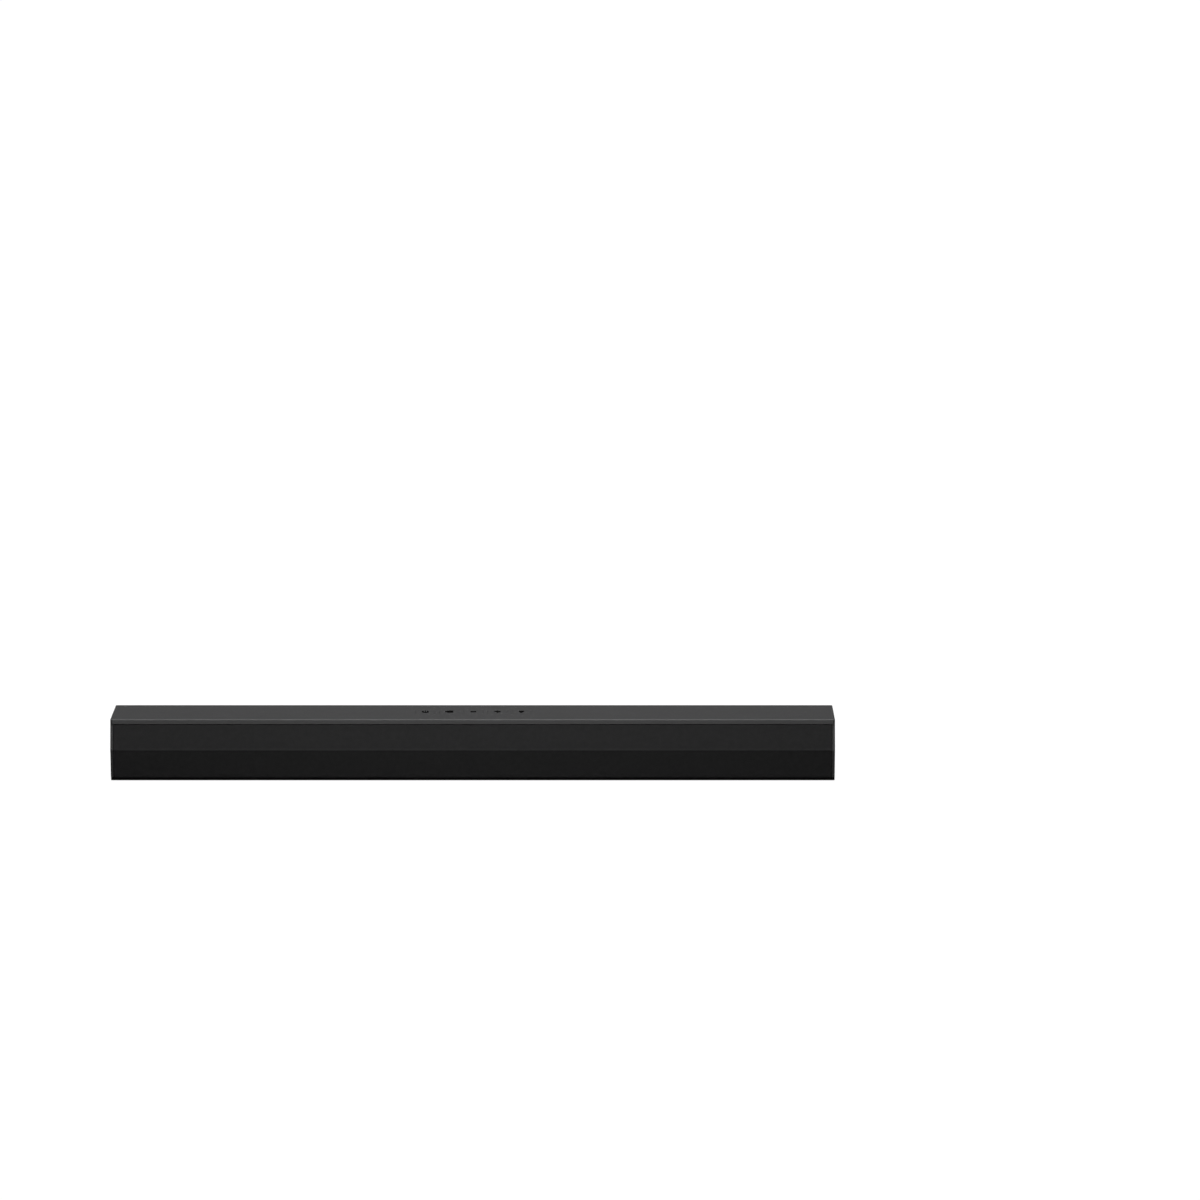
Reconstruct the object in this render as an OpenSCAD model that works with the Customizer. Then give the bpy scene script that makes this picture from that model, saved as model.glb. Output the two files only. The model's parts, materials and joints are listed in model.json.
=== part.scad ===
// Soundbar: a two-part housing around two full-range drivers, five push keys and a bay of sockets.
// Millimetres. X runs along the bar, -Y is the listener's side and Z is up.
// The origin is the middle of the footprint, on the surface that the feet stand on.

/* [Overall] */
// Width of the bar, end to end at the ridge
bar_w = 720; // [600:1:1200]
// Depth of the bar, from the front ridge to the back wall
bar_d = 87; // [84:0.5:130]
// Height of the housing without its feet
bar_h = 61; // [60:0.1:90]
// How far the feet stand out below the base
foot_h = 2; // [1:0.1:5]

/* [Shell] */
// Wall of the cabinet's ends and back
wall = 2.5; // [2:0.1:3.2]
// Thickness of the base plate
base_t = 2.5; // [2:0.1:3.5]
// Thickness of the top cover's plate
cover_t = 2.5; // [2:0.1:3.5]
// Height of the rim around the top cover, plate included
rim_h = 4.6; // [3:0.1:6]
// Thickness of that rim
rim_t = 1.2; // [0.8:0.1:1.4]
// Open shadow line between the rim and the grille
shadow_gap = 1.2; // [0.6:0.1:2.5]
// Radius of the cover's upright corners and of the cabinet's back ones
corner_r = 2; // [2:0.5:8]
// Bevel along the top cover's upper edges
edge_bevel = 0.8; // [0.3:0.1:1.5]
// How far the cover's front face lies behind the ridge
cover_setback = 3; // [1:0.5:5]
// How far the grille's top edge lies behind the ridge
top_setback = 4; // [2:0.5:5]
// How far the grille's bottom edge lies behind the ridge
bottom_setback = 5; // [2:0.5:6]
// How far the base plate's front edge lies behind the grille's
plinth_setback = 2; // [0:0.5:3]
// How far each end swells out at the height of the ridge
end_bulge = 0.1; // [0.1:0.1:2]
// Play between pieces that slip into each other
slip = 0.2; // [0.1:0.05:0.4]

/* [Grille] */
// Thickness of the stretched cloth
cloth_t = 0.6; // [0.4:0.1:1.2]
// Thickness of the grille frame under it
frame_t = 1.6; // [1.2:0.1:2]
// Distance from the ridge back to the baffle's face
baffle_setback = 10; // [9.5:0.5:12]
// Spacing of the windows in the grille frame
window_pitch = 30; // [24:1:36]
// Rib left between two windows
window_rib = 4; // [3:0.5:6]
// Radius of the pegs that hold the grille
peg_r = 1.5; // [1:0.1:2]

/* [Baffle and drivers] */
// Thickness of the front baffle
baffle_t = 2.5; // [2:0.1:4]
// Outer radius of a driver's flange
driver_r = 24; // [20:0.5:24.5]
// Distance from the end of the bar to a driver's centre
driver_inset = 70; // [60:1:90]
// Width of the flange ring outside the surround
flange_ring = 3.4; // [3:0.1:5]
// Thickness of the flange
flange_t = 1.5; // [1:0.1:2]
// Thickness of the foam gasket behind the flange
gasket_t = 1; // [0.5:0.1:1.2]
// Width of the surround's half roll
roll_w = 4.5; // [3:0.1:5]
// Inner radius of the voice coil's former
coil_r = 6.2; // [5:0.1:6.4]
// Wall of the former, and height of the winding on it
coil_t = 0.3; // [0.2:0.05:0.4]
// Radial gap on each side of the voice coil
coil_gap = 0.3; // [0.25:0.05:0.5]
// Outer radius of the magnet
magnet_r = 16; // [14:0.5:20]
// Thickness of the magnet
magnet_t = 7; // [5:0.5:10]
// Travel of a cone each way from rest
cone_travel = 1.5; // [0.5:0.1:2]

/* [Keys] */
// Spacing of the five keys
key_pitch = 24; // [22:0.5:34]
// Length of a key along the bar
key_w = 19; // [14:0.5:19.5]
// Length of a key across the bar
key_d = 15; // [10:0.5:20]
// Keys' centre line, measured back from the middle of the bar
key_y = 3; // [-6:0.5:8]
// Clearance around a key
key_gap = 0.3; // [0.2:0.05:0.5]
// Travel of a key
key_travel = 0.8; // [0.4:0.1:1]
// Height of a silicone dome at rest
dome_h = 2.4; // [2:0.1:3]

/* [Main board and sockets] */
// Length of the main board along the bar
board_w = 150; // [150:1:180]
// Depth of the main board
board_d = 50; // [50:0.5:52]
// Thickness of the circuit boards
board_t = 1.6; // [1:0.1:2]
// Height of the standoffs above the base plate
standoff_h = 4.5; // [3:0.5:8]
// Width of the socket bay
bay_w = 120; // [116:1:140]
// Height of the socket bay
bay_h = 24; // [20:0.5:28]
// Depth of the socket bay
bay_d = 12.5; // [8:0.5:14]
// Wall of the socket bay
bay_wall = 2; // [1.5:0.1:3]

/* [Fixings] */
// Distance between the two wall-bracket inserts
bracket_span = 440; // [300:1:500]
// Bore radius of an M4 insert's thread
insert_bore_r = 1.65; // [1.6:0.05:1.7]
// Outer radius of an insert
insert_r = 2.8; // [2.5:0.1:3.2]
// Length of an insert
insert_l = 8; // [6:0.5:10]
// Radius of a foot
foot_r = 9; // [6:0.5:12]
// Depth of the recess that a foot sits in
foot_recess = 1; // [0.5:0.1:1.4]
// How far the front feet's middles lie behind the ridge, far enough to stay out of sight
foot_setback = 28.5; // [24:0.5:34]
// How far the back feet's middles lie ahead of the back
foot_inset = 15.5; // [13:0.5:20]
// Shank radius of the case and board screws
screw_r = 1.45; // [1.2:0.05:1.6]
// Head radius of those screws
screw_head_r = 2.7; // [2.4:0.1:3]

/* [Hidden] */
$fn = 48;
eps = 0.01;
thread_clearance = 0.05;
half_w = bar_w / 2;
front_y = -bar_d / 2;
back_y = bar_d / 2;
base_z = foot_h;
floor_z = base_z + base_t;
top_z = base_z + bar_h;
mid_z = base_z + bar_h / 2;
under_cover_z = top_z - cover_t;
rim_z = top_z - rim_h;
grille_top_z = rim_z - shadow_gap;
cover_half_w = half_w - end_bulge;
cover_front_y = front_y + cover_setback;
inner_half_w = cover_half_w - wall;
inner_back_y = back_y - wall;
baffle_y = front_y + baffle_setback;
baffle_back_y = baffle_y + baffle_t;
skin_t = cloth_t + frame_t;
seam_y = baffle_y - slip;
grille_half_w = inner_half_w - slip;
cabinet_top_z = rim_z - slip;
arc_steps = 6;
// An odd number of window columns, so that ribs fall on the pegs
window_count = 2 * floor((half_w - 14) / window_pitch - 0.5) + 1;

driver_x = half_w - driver_inset;
driver_z = (floor_z + grille_top_z) / 2;
driver_front_y = baffle_y - gasket_t - flange_t;
surround_r = driver_r - flange_ring;
roll_r = roll_w / 2;
roll_outer_r = surround_r - 2;
roll_mid_r = roll_outer_r - roll_r;
cone_r = roll_outer_r - roll_w;
cone_lip_u = 1.2;
roll_foot = 1.4;
rubber_t = 0.4;
foot_ring = 1.2;
paper_t = 0.5;
former_r = coil_r + coil_t;
winding_r = former_r + coil_t;
neck_u = 6.5;
former_front_u = 6;
cap_r = former_r + 1;
cap_rise = 2.5;
spider_u = 10;
spider_t = 0.4;
spider_r = 13;
spider_step = 1.2;
spider_wave = 0.4;
shelf_r = spider_r + 2;
basket_t = 1.2;
basket_back_u = 15;
plate_t = 3;
// The winding stands out of the gap by the travel at each end
winding_l = plate_t + 2 * cone_travel;
former_back_u = basket_back_u + (plate_t + winding_l) / 2;
winding_u = [former_back_u - 0.1 - winding_l, former_back_u - 0.1];
magnet_u = basket_back_u + plate_t;
yoke_u = magnet_u + magnet_t;
basket_hole_r = roll_outer_r + basket_t + 0.9;
driver_screw_r = 1.1;
driver_screw_head_r = 1.7;
driver_screw_pcr = driver_r - 2.1;
partition_inset = 160;
partition_t = 2;

post_r = 5;
post_hole_r = 3;
post_top_z = under_cover_z - 14.5;
post_web = 4;
post_x = [100, half_w - 145, half_w - 15];
post_y = [baffle_back_y + 9, inner_back_y - 8];
boss_r = 3.5;
screw_head_h = 2;
screw_grip = 9;
standoff_r = 3;
foot_x = half_w - 60;
foot_places_y = [front_y + foot_setback, back_y - foot_inset];

// The keys run power, source, volume down, volume up and pairing, from the left
key_flange = 1;
key_rest_gap = 0.05;
stem_r = 2.5;
dome_r = 4.5;
dome_wall = 0.6;
flange_z = under_cover_z - key_rest_gap - key_flange;
stem_z = flange_z - key_travel - 1.4;
key_board_z = stem_z - dome_h - board_t;
key_boss_x = 2 * key_pitch + key_w / 2 + 5;
key_boss_y = key_d / 2 + 2.5;
key_board_w = 2 * (key_boss_x + 4);
key_board_d = 2 * (key_boss_y + 3);

board_z = floor_z + standoff_h;
board_top_z = board_z + board_t;
bay_z = board_z;
bay_back_y = back_y - bay_d;
panel_t = 2;
board_back_y = bay_back_y - panel_t - 0.5;
board_front_y = board_back_y - board_d;
board_screw_x = board_w / 2 - 7;
board_screw_y = [board_front_y + 6, board_back_y - 7];
socket_y = bay_back_y + 0.3;
dc_x = -42;
hdmi_x = -16;
optical_x = 8;
usb_x = 31;
audio_x = 50;
hinge_r = 0.45;
hinge_fit = 0.05;
optical_half_w = 5.2;
optical_h = 10.4;
optical_depth = 13;
optical_cavity = [8.4, 9, 8.6];
optical_sill = 0.8;
hinge_z = board_top_z + optical_sill + optical_cavity[2] - 0.8;
hinge_y = socket_y - 0.8;

chip_h = 1.2;
header_h = 6;
header_y = -15;
ribbon_x = 52;
header_x = [0, 14, 28, ribbon_x];
ribbon_t = 0.4;
ribbon_w = 12;
ribbon_y = -13;
ribbon_drop = 4;
ribbon_low_z = board_top_z + header_h;
wire_r = 1.2;
wire_y = -16;
wire_z = 9;
pad_size = [34, 32, 40];

cover_colour = [0.20, 0.20, 0.21];
cabinet_colour = [0.09, 0.09, 0.10];
cloth_colour = [0.13, 0.13, 0.135];
black = [0.04, 0.04, 0.045];
steel = [0.72, 0.73, 0.75];
board_green = [0.05, 0.22, 0.13];

// ---- Shared shapes ----

// Points of a rectangle with rounded corners, centred on the origin
function rounded_rect(w, d, r) = [
    for (q = [0:3], k = [0:arc_steps])
        let (a = 90 * (q + k / arc_steps), sx = (q == 0 || q == 3) ? 1 : -1, sy = q < 2 ? 1 : -1)
            [sx * (w / 2 - r) + r * cos(a), sy * (d / 2 - r) + r * sin(a)]
];

// Cross-section of the bar, as (y, z): a shallow ridge at mid-height on the front
function bar_section(inset) = [
    [front_y + bottom_setback + inset, base_z],
    [back_y - inset, base_z],
    [back_y - inset, top_z],
    [front_y + top_setback * (top_z - mid_z) / (grille_top_z - mid_z) + inset, top_z],
    [front_y + inset, mid_z]
];

// Outline of the bar from the front, as (x, z)
function bar_outline(inset) = [
    [-cover_half_w + inset, base_z],
    [cover_half_w - inset, base_z],
    [half_w - inset, mid_z],
    [cover_half_w - inset, top_z],
    [-cover_half_w + inset, top_z],
    [-half_w + inset, mid_z]
];

// The bar's outer form, drawn in by inset, between two heights
module bar_solid(inset, z_low, z_high) {
    intersection() {
        rotate([90, 0, 90]) linear_extrude(height = bar_w + 2, center = true) polygon(bar_section(inset));
        rotate([90, 0, 0]) linear_extrude(height = bar_d + 2, center = true) polygon(bar_outline(inset));
        translate([0, -corner_r, z_low]) linear_extrude(height = z_high - z_low) polygon(rounded_rect(
            bar_w - 2 * inset, bar_d + 2 * (corner_r - inset), corner_r - min(inset, corner_r / 2)
        ));
    }
}

// The grille's form between the cabinet's end walls, drawn in by inset
module grille_solid(inset, z_low, z_high) {
    reach = grille_half_w - inset;
    intersection() {
        bar_solid(inset, z_low, z_high);
        span([-reach, front_y - 1, 0], [reach, back_y, top_z]);
    }
}

// A box from one corner to the other
module span(low, high) {
    translate(low) cube(high - low);
}

// Upright cylinder between two heights
module upright(x, y, r, z_low, z_high) {
    translate([x, y, z_low]) cylinder(r = r, h = z_high - z_low);
}

// Both signs of each case post
module at_posts() {
    for (x = post_x, side = [-1, 1], y = post_y) translate([side * x, y, 0]) children();
}

// Pan-head screw that points up, its head's underside at z = 0
module screw(shank_r, head_r, head_h, length) {
    slot = head_r * 0.3;
    difference() {
        union() {
            translate([0, 0, -head_h]) cylinder(r = head_r, h = head_h);
            cylinder(r = shank_r, h = length);
        }
        for (a = [0, 90]) rotate([0, 0, a])
            translate([-head_r * 0.6, -slot / 2, -head_h - eps]) cube([head_r * 1.2, slot, head_h * 0.6]);
    }
}

// Turned solid about a driver's axis: points are (radius, depth behind the flange's front face)
module turned(points) {
    rotate([-90, 0, 0]) rotate_extrude() polygon(points);
}

// Ring about a driver's axis
module turned_ring(r_in, r_out, u_low, u_high) {
    turned([[r_in, u_low], [r_out, u_low], [r_out, u_high], [r_in, u_high]]);
}

// Children placed at one driver's centre, on its flange's front plane
module at_driver(side) {
    translate([side * driver_x, driver_front_y, driver_z]) children();
}

// Four places around a driver's flange
module at_flange_screws() {
    for (a = [45:90:315]) rotate([0, a, 0]) translate([driver_screw_pcr, 0, 0]) children();
}

// Tube swept along a list of points
function unit(v) = v / norm(v);
function heading(p, i) = unit(
    (i < len(p) - 1 ? unit(p[i + 1] - p[i]) : [0, 0, 0]) + (i > 0 ? unit(p[i] - p[i - 1]) : [0, 0, 0])
);
function tube_ring(p, i, r, sides) =
    let (t = heading(p, i), a = unit(cross(t, [0.13, 0.21, 1])), b = cross(a, t))
        [for (k = [0:sides - 1]) p[i] + r * (cos(360 * k / sides) * a + sin(360 * k / sides) * b)];
module tube(p, r, sides = 8) {
    points = [for (i = [0:len(p) - 1]) each tube_ring(p, i, r, sides)];
    last = (len(p) - 1) * sides;
    walls = [
        for (i = [0:len(p) - 2], k = [0:sides - 1])
            let (a = i * sides + k, b = i * sides + (k + 1) % sides)
                each [[a, b, b + sides], [a, b + sides, a + sides]]
    ];
    ends = [[for (k = [sides - 1:-1:0]) k], [for (k = [0:sides - 1]) last + k]];
    polyhedron(points, concat(walls, ends));
}

// ---- Housing ----

// Outline of the top cover, drawn in by inset
module cover_plan(inset) {
    translate([0, cover_setback / 2])
        polygon(rounded_rect(
            2 * (cover_half_w - inset), bar_d - cover_setback - 2 * inset, corner_r - inset
        ));
}

// Bevelled envelope of the top cover
module cover_envelope() {
    intersection() {
        translate([0, 0, rim_z]) linear_extrude(height = rim_h) cover_plan(0);
        rotate([90, 0, 90]) linear_extrude(height = bar_w, center = true) polygon([
            [cover_front_y, rim_z], [back_y, rim_z], [back_y, top_z - edge_bevel],
            [back_y - edge_bevel, top_z], [cover_front_y + edge_bevel, top_z],
            [cover_front_y, top_z - edge_bevel]
        ]);
        rotate([90, 0, 0]) linear_extrude(height = bar_d + 2, center = true) polygon([
            [-cover_half_w, rim_z], [cover_half_w, rim_z], [cover_half_w, top_z - edge_bevel],
            [cover_half_w - edge_bevel, top_z], [-cover_half_w + edge_bevel, top_z],
            [-cover_half_w, top_z - edge_bevel]
        ]);
    }
}

module top_cover() {
    color(cover_colour) difference() {
        union() {
            difference() {
                cover_envelope();
                translate([0, 0, rim_z - eps]) linear_extrude(height = rim_h - cover_t + eps)
                    cover_plan(rim_t);
            }
            at_posts() upright(0, 0, boss_r, post_top_z, under_cover_z + eps);
            for (x = [-key_boss_x, key_boss_x], y = [-key_boss_y, key_boss_y])
                upright(x, key_y + y, standoff_r, key_board_z + board_t, under_cover_z + eps);
        }
        for (i = [0:4]) translate([(i - 2) * key_pitch, key_y, top_z])
            cube([key_w + 2 * key_gap, key_d + 2 * key_gap, 4 * cover_t], center = true);
        at_posts() upright(0, 0, screw_r + thread_clearance, post_top_z - eps, under_cover_z - 1);
        for (x = [-key_boss_x, key_boss_x], y = [-key_boss_y, key_boss_y])
            upright(x, key_y + y, screw_r + thread_clearance, key_board_z, under_cover_z - 1);
    }
}

// Socket bay: the box that stands in from the back wall, and the hollow in it
module bay_box(grow, y_low, y_high) {
    span([-bay_w / 2 - grow, y_low, bay_z - grow], [bay_w / 2 + grow, y_high, bay_z + bay_h + grow]);
}

module cabinet() {
    color(cabinet_colour) difference() {
        union() {
            difference() {
                bar_solid(0, base_z, cabinet_top_z);
                span([-inner_half_w, front_y - 1, floor_z], [inner_half_w, inner_back_y, top_z]);
                span([-bar_w, front_y - 1, 0], [bar_w, front_y + bottom_setback + plinth_setback, floor_z]);
            }
            difference() {
                translate([0, 0, cabinet_top_z - 1])
                    linear_extrude(height = under_cover_z - cabinet_top_z + 1) cover_plan(rim_t + slip);
                span([-inner_half_w, front_y, floor_z], [inner_half_w, inner_back_y, top_z]);
                span([-bar_w, front_y - 1, floor_z], [bar_w, baffle_y, top_z]);
            }
            at_posts() upright(0, 0, post_r, floor_z - eps, post_top_z);
            for (side = [-1, 1]) {
                x = side * (half_w - partition_inset);
                span([x - partition_t / 2, baffle_back_y + slip, floor_z - eps],
                    [x + partition_t / 2, inner_back_y + eps, under_cover_z - slip]);
            }
            for (x = [-board_screw_x, board_screw_x], y = board_screw_y)
                upright(x, y, standoff_r, floor_z - eps, board_z);
            bay_box(bay_wall, bay_back_y - panel_t, inner_back_y + eps);
            for (side = [-1, 1]) translate([side * bracket_span / 2, inner_back_y + eps, mid_z])
                rotate([90, 0, 0]) cylinder(r = insert_r + 2, h = insert_l - wall + 1.5);
            span([-inner_half_w + 40, baffle_back_y + slip, floor_z - eps],
                [inner_half_w - 40, baffle_back_y + slip + 1.2, floor_z + 3]);
        }
        at_posts() {
            upright(0, 0, post_hole_r, base_z - 1, post_top_z - post_web);
            upright(0, 0, screw_r + slip, base_z, post_top_z + 1);
        }
        for (x = [-board_screw_x, board_screw_x], y = board_screw_y)
            upright(x, y, screw_r + thread_clearance, floor_z - 1, board_z + 1);
        bay_box(0, bay_back_y - panel_t - 1, back_y + 1);
        for (side = [-1, 1]) translate([side * bracket_span / 2, back_y + 1, mid_z])
            rotate([90, 0, 0]) cylinder(r = insert_r, h = insert_l + 1);
        for (x = [-foot_x, foot_x], y = foot_places_y)
            upright(x, y, foot_r + slip, base_z - 1, base_z + foot_recess);
        for (side = [-1, 1]) translate([side * (half_w - partition_inset) - 5, wire_y, wire_z])
            rotate([0, 90, 0]) cylinder(r = wire_r + slip, h = 10);
    }
}

module front_baffle() {
    color(black) difference() {
        span([-inner_half_w + slip, baffle_y, floor_z], [inner_half_w - slip, baffle_back_y, under_cover_z]);
        for (side = [-1, 1]) at_driver(side) {
            turned_ring(0, basket_hole_r, 0, 10);
            at_flange_screws() rotate([-90, 0, 0])
                cylinder(r = driver_screw_r + thread_clearance, h = 10);
        }
        at_pegs() rotate([-90, 0, 0]) cylinder(r = peg_r + 0.1, h = baffle_setback * 2);
    }
}

// Children placed at each grille peg, on the ridge
module at_pegs() {
    for (side = [-1, 1], k = [2.5, 7.5])
        translate([side * k * window_pitch, front_y + skin_t / 2 + 0.5, mid_z]) children();
}

module grille_frame() {
    color(black) union() {
        difference() {
            grille_solid(cloth_t, floor_z, grille_top_z);
            grille_solid(skin_t, floor_z + frame_t, grille_top_z - frame_t);
            span([-bar_w, seam_y, 0], [bar_w, bar_d, top_z]);
            for (i = [0:window_count - 1], row = [0, 1]) {
                x = (i - (window_count - 1) / 2) * window_pitch;
                z_low = row == 0 ? floor_z + 3 : mid_z + 2;
                z_high = row == 0 ? mid_z - 2 : grille_top_z - 3;
                span([x - (window_pitch - window_rib) / 2, front_y - 1, z_low],
                    [x + (window_pitch - window_rib) / 2, seam_y - 3, z_high]);
            }
        }
        at_pegs() rotate([-90, 0, 0]) cylinder(r = peg_r, h = baffle_back_y - front_y - skin_t / 2 - 0.5);
    }
}

module grille_cloth() {
    color(cloth_colour) difference() {
        grille_solid(0, floor_z, grille_top_z);
        grille_solid(cloth_t, floor_z - 1, grille_top_z + 1);
        span([-bar_w, seam_y, 0], [bar_w, bar_d, top_z]);
    }
}

module jack_panel() {
    color(black) difference() {
        span([-bay_w / 2 + slip, bay_back_y - panel_t, bay_z + slip],
            [bay_w / 2 - slip, bay_back_y, bay_z + bay_h - slip]);
        socket_hole(dc_x, 9.4, 11.2);
        socket_hole(hdmi_x, 15.4, 6.4);
        socket_hole(optical_x, 2 * optical_half_w + 0.4, optical_h + 0.2);
        socket_hole(usb_x, 14.9, 7.2);
        socket_hole(audio_x, 8.4, 7.2);
    }
}

// Cut in the panel around one socket, open towards the board
module socket_hole(x, w, h) {
    span([x - w / 2, bay_back_y - panel_t - 1, bay_z - 1], [x + w / 2, bay_back_y + 1, board_top_z + h]);
}

module rubber_feet() {
    color(black) for (x = [-foot_x, foot_x], y = foot_places_y) translate([x, y, 0])
        rotate_extrude() polygon([
            [0, 0], [foot_r - 0.6, 0], [foot_r, 0.6],
            [foot_r, base_z + foot_recess], [0, base_z + foot_recess]
        ]);
}

module bracket_inserts() {
    color([0.72, 0.58, 0.30]) for (side = [-1, 1]) translate([side * bracket_span / 2, back_y, mid_z])
        rotate([90, 0, 0]) difference() {
            cylinder(r = insert_r, h = insert_l);
            translate([0, 0, -1]) cylinder(r = insert_bore_r, h = insert_l + 2);
        }
}

module case_screws() {
    color(steel) at_posts() translate([0, 0, post_top_z - post_web])
        screw(screw_r, screw_head_r, screw_head_h, post_web + screw_grip);
}

module board_screws() {
    color(steel) for (x = [-board_screw_x, board_screw_x], y = board_screw_y)
        translate([x, y, board_top_z]) mirror([0, 0, 1])
            screw(screw_r, screw_head_r, screw_head_h, board_t + standoff_h - 0.5);
}

module key_board_screws() {
    color(steel) for (x = [-key_boss_x, key_boss_x], y = [-key_boss_y, key_boss_y])
        translate([x, key_y + y, key_board_z])
            screw(screw_r, screw_head_r, screw_head_h, board_t + 4);
}

module driver_screws() {
    color(steel) for (side = [-1, 1]) at_driver(side) at_flange_screws() rotate([-90, 0, 0])
        screw(driver_screw_r, driver_screw_head_r, 1, flange_t + gasket_t + baffle_t);
}

// ---- Keys ----

// One key cap with its retaining flange and stem
module key_cap(i) {
    color(cover_colour) translate([(i - 2) * key_pitch, key_y, 0]) {
        span([-key_w / 2, -key_d / 2, flange_z + key_flange - eps], [key_w / 2, key_d / 2, top_z]);
        span([-key_w / 2 - 1, -key_d / 2 - 1, flange_z],
            [key_w / 2 + 1, key_d / 2 + 1, flange_z + key_flange]);
        upright(0, 0, stem_r, stem_z, flange_z + eps);
    }
}

// Silicone dome between a key's stem and the key board
module key_dome(i) {
    low = key_board_z + board_t;
    color([0.55, 0.56, 0.58]) translate([(i - 2) * key_pitch, key_y, low]) rotate_extrude() polygon([
        [dome_r - dome_wall, 0], [dome_r, 0], [stem_r, dome_h], [0, dome_h], [0, dome_h - dome_wall],
        [stem_r - dome_wall, dome_h - dome_wall]
    ]);
}

module power_key() { key_cap(0); }
module source_key() { key_cap(1); }
module volume_down_key() { key_cap(2); }
module volume_up_key() { key_cap(3); }
module pairing_key() { key_cap(4); }
module power_dome() { key_dome(0); }
module source_dome() { key_dome(1); }
module volume_down_dome() { key_dome(2); }
module volume_up_dome() { key_dome(3); }
module pairing_dome() { key_dome(4); }

module key_board() {
    color(board_green) difference() {
        span([-key_board_w / 2, key_y - key_board_d / 2, key_board_z],
            [key_board_w / 2, key_y + key_board_d / 2, key_board_z + board_t]);
        for (x = [-key_boss_x, key_boss_x], y = [-key_boss_y, key_boss_y])
            upright(x, key_y + y, screw_r + slip, key_board_z - 1, key_board_z + board_t + 1);
    }
}

// Flat ribbon from the key board's underside down to the main board
module key_ribbon() {
    color([0.85, 0.85, 0.82]) translate([ribbon_x, 0, 0]) rotate([90, 0, 90])
        linear_extrude(height = ribbon_w, center = true) polygon([
            [ribbon_y, ribbon_low_z], [ribbon_y + ribbon_t, ribbon_low_z],
            [ribbon_y + ribbon_t, key_board_z - ribbon_drop - ribbon_t],
            [key_y - 2, key_board_z - ribbon_drop - ribbon_t],
            [key_y - 2, key_board_z], [key_y - 2 - ribbon_t, key_board_z],
            [key_y - 2 - ribbon_t, key_board_z - ribbon_drop], [ribbon_y, key_board_z - ribbon_drop]
        ]);
}

// ---- Main board ----

module main_board() {
    color(board_green) difference() {
        span([-board_w / 2, board_front_y, board_z], [board_w / 2, board_back_y, board_top_z]);
        for (x = [-board_screw_x, board_screw_x], y = board_screw_y)
            upright(x, y, screw_r + slip, board_z - 1, board_top_z + 1);
    }
}

// Block that stands on the main board
module on_board(x, y, size) {
    translate([x - size[0] / 2, y - size[1] / 2, board_top_z]) cube(size);
}

module processor() {
    color([0.08, 0.08, 0.09]) difference() {
        on_board(25, -3, [14, 14, 1.4]);
        upright(20, 2, 0.8, board_top_z + 1.2, board_top_z + 2);
    }
}

module amplifier_chip() {
    color([0.08, 0.08, 0.09]) on_board(-28, -5, [14, 8, chip_h]);
}

module heat_sink() {
    low = board_top_z + chip_h;
    color([0.75, 0.76, 0.78]) union() {
        span([-48, -15, low], [-10, 4, low + 2]);
        for (i = [0:7]) span([-48 + i * 5.2, -15, low + 2 - eps], [-46.4 + i * 5.2, 4, low + 10]);
    }
}

module capacitors() {
    color([0.15, 0.2, 0.4]) for (p = [[-61, -3], [-61, 9], [-49, 10], [-37, 10]])
        translate([p[0], p[1], board_top_z]) rotate_extrude() polygon([
            [0, 0], [5, 0], [5, 2], [4.7, 2.4], [5, 2.8], [5, 15.6], [4.6, 16], [0, 16]
        ]);
}

module inductors() {
    color([0.2, 0.2, 0.2]) for (i = [0:3]) difference() {
        on_board(-22 + 11 * i, 10, [8, 8, 6]);
        upright(-22 + 11 * i, 10, 2.5, board_top_z + 5.4, board_top_z + 7);
    }
}

module wireless_module() {
    color([0.1, 0.15, 0.35]) union() {
        on_board(61, 2, [16, 22, 1]);
        translate([0, 0, 1 - eps]) on_board(61, 5, [14, 14, 2]);
    }
}

module board_headers() {
    color([0.9, 0.88, 0.8]) for (x = header_x) difference() {
        on_board(x, header_y, [x == ribbon_x ? 14 : 8, 4, header_h]);
        if (x != ribbon_x) translate([0, 0, 1]) on_board(x, header_y, [6.4, 2.4, header_h]);
    }
}

// ---- Sockets, on the main board's back edge ----

// Socket body: a block whose mouth is at the back
module socket_body(x, w, h, depth) {
    span([x - w / 2, socket_y - depth, board_top_z], [x + w / 2, socket_y, board_top_z + h]);
}

module dc_jack() {
    color(black) union() {
        difference() {
            socket_body(dc_x, 9, 11, 14);
            translate([dc_x, socket_y + 1, board_top_z + 5.8]) rotate([90, 0, 0]) cylinder(r = 3.2, h = 11);
        }
        translate([dc_x, socket_y - 1, board_top_z + 5.8]) rotate([90, 0, 0]) cylinder(r = 1, h = 10);
    }
}

module hdmi_port() {
    z = board_top_z + 3.2;
    color(steel) union() {
        difference() {
            socket_body(hdmi_x, 15, 6, 11);
            translate([hdmi_x, socket_y + 1, z]) rotate([90, 0, 0]) linear_extrude(height = 10)
                polygon([[-7, 2.3], [7, 2.3], [7, -0.6], [5.2, -2.2], [-5.2, -2.2], [-7, -0.6]]);
        }
        span([hdmi_x - 5.6, socket_y - 10, z + 0.1], [hdmi_x + 5.6, socket_y - 1.5, z + 1]);
    }
}

module usb_port() {
    z = board_top_z + 3.5;
    color(steel) union() {
        difference() {
            socket_body(usb_x, 14.5, 7, 14);
            span([usb_x - 6.25, socket_y - 12, z - 2.55], [usb_x + 6.25, socket_y + 1, z + 2.55]);
        }
        span([usb_x - 5.5, socket_y - 12.5, z - 0.1], [usb_x + 5.5, socket_y - 1.5, z + 1.7]);
    }
}

module audio_jack() {
    color(black) difference() {
        socket_body(audio_x, 8, 7, 13);
        translate([audio_x, socket_y + 1, board_top_z + 3.5]) rotate([90, 0, 0]) cylinder(r = 1.8, h = 13);
    }
}

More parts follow.
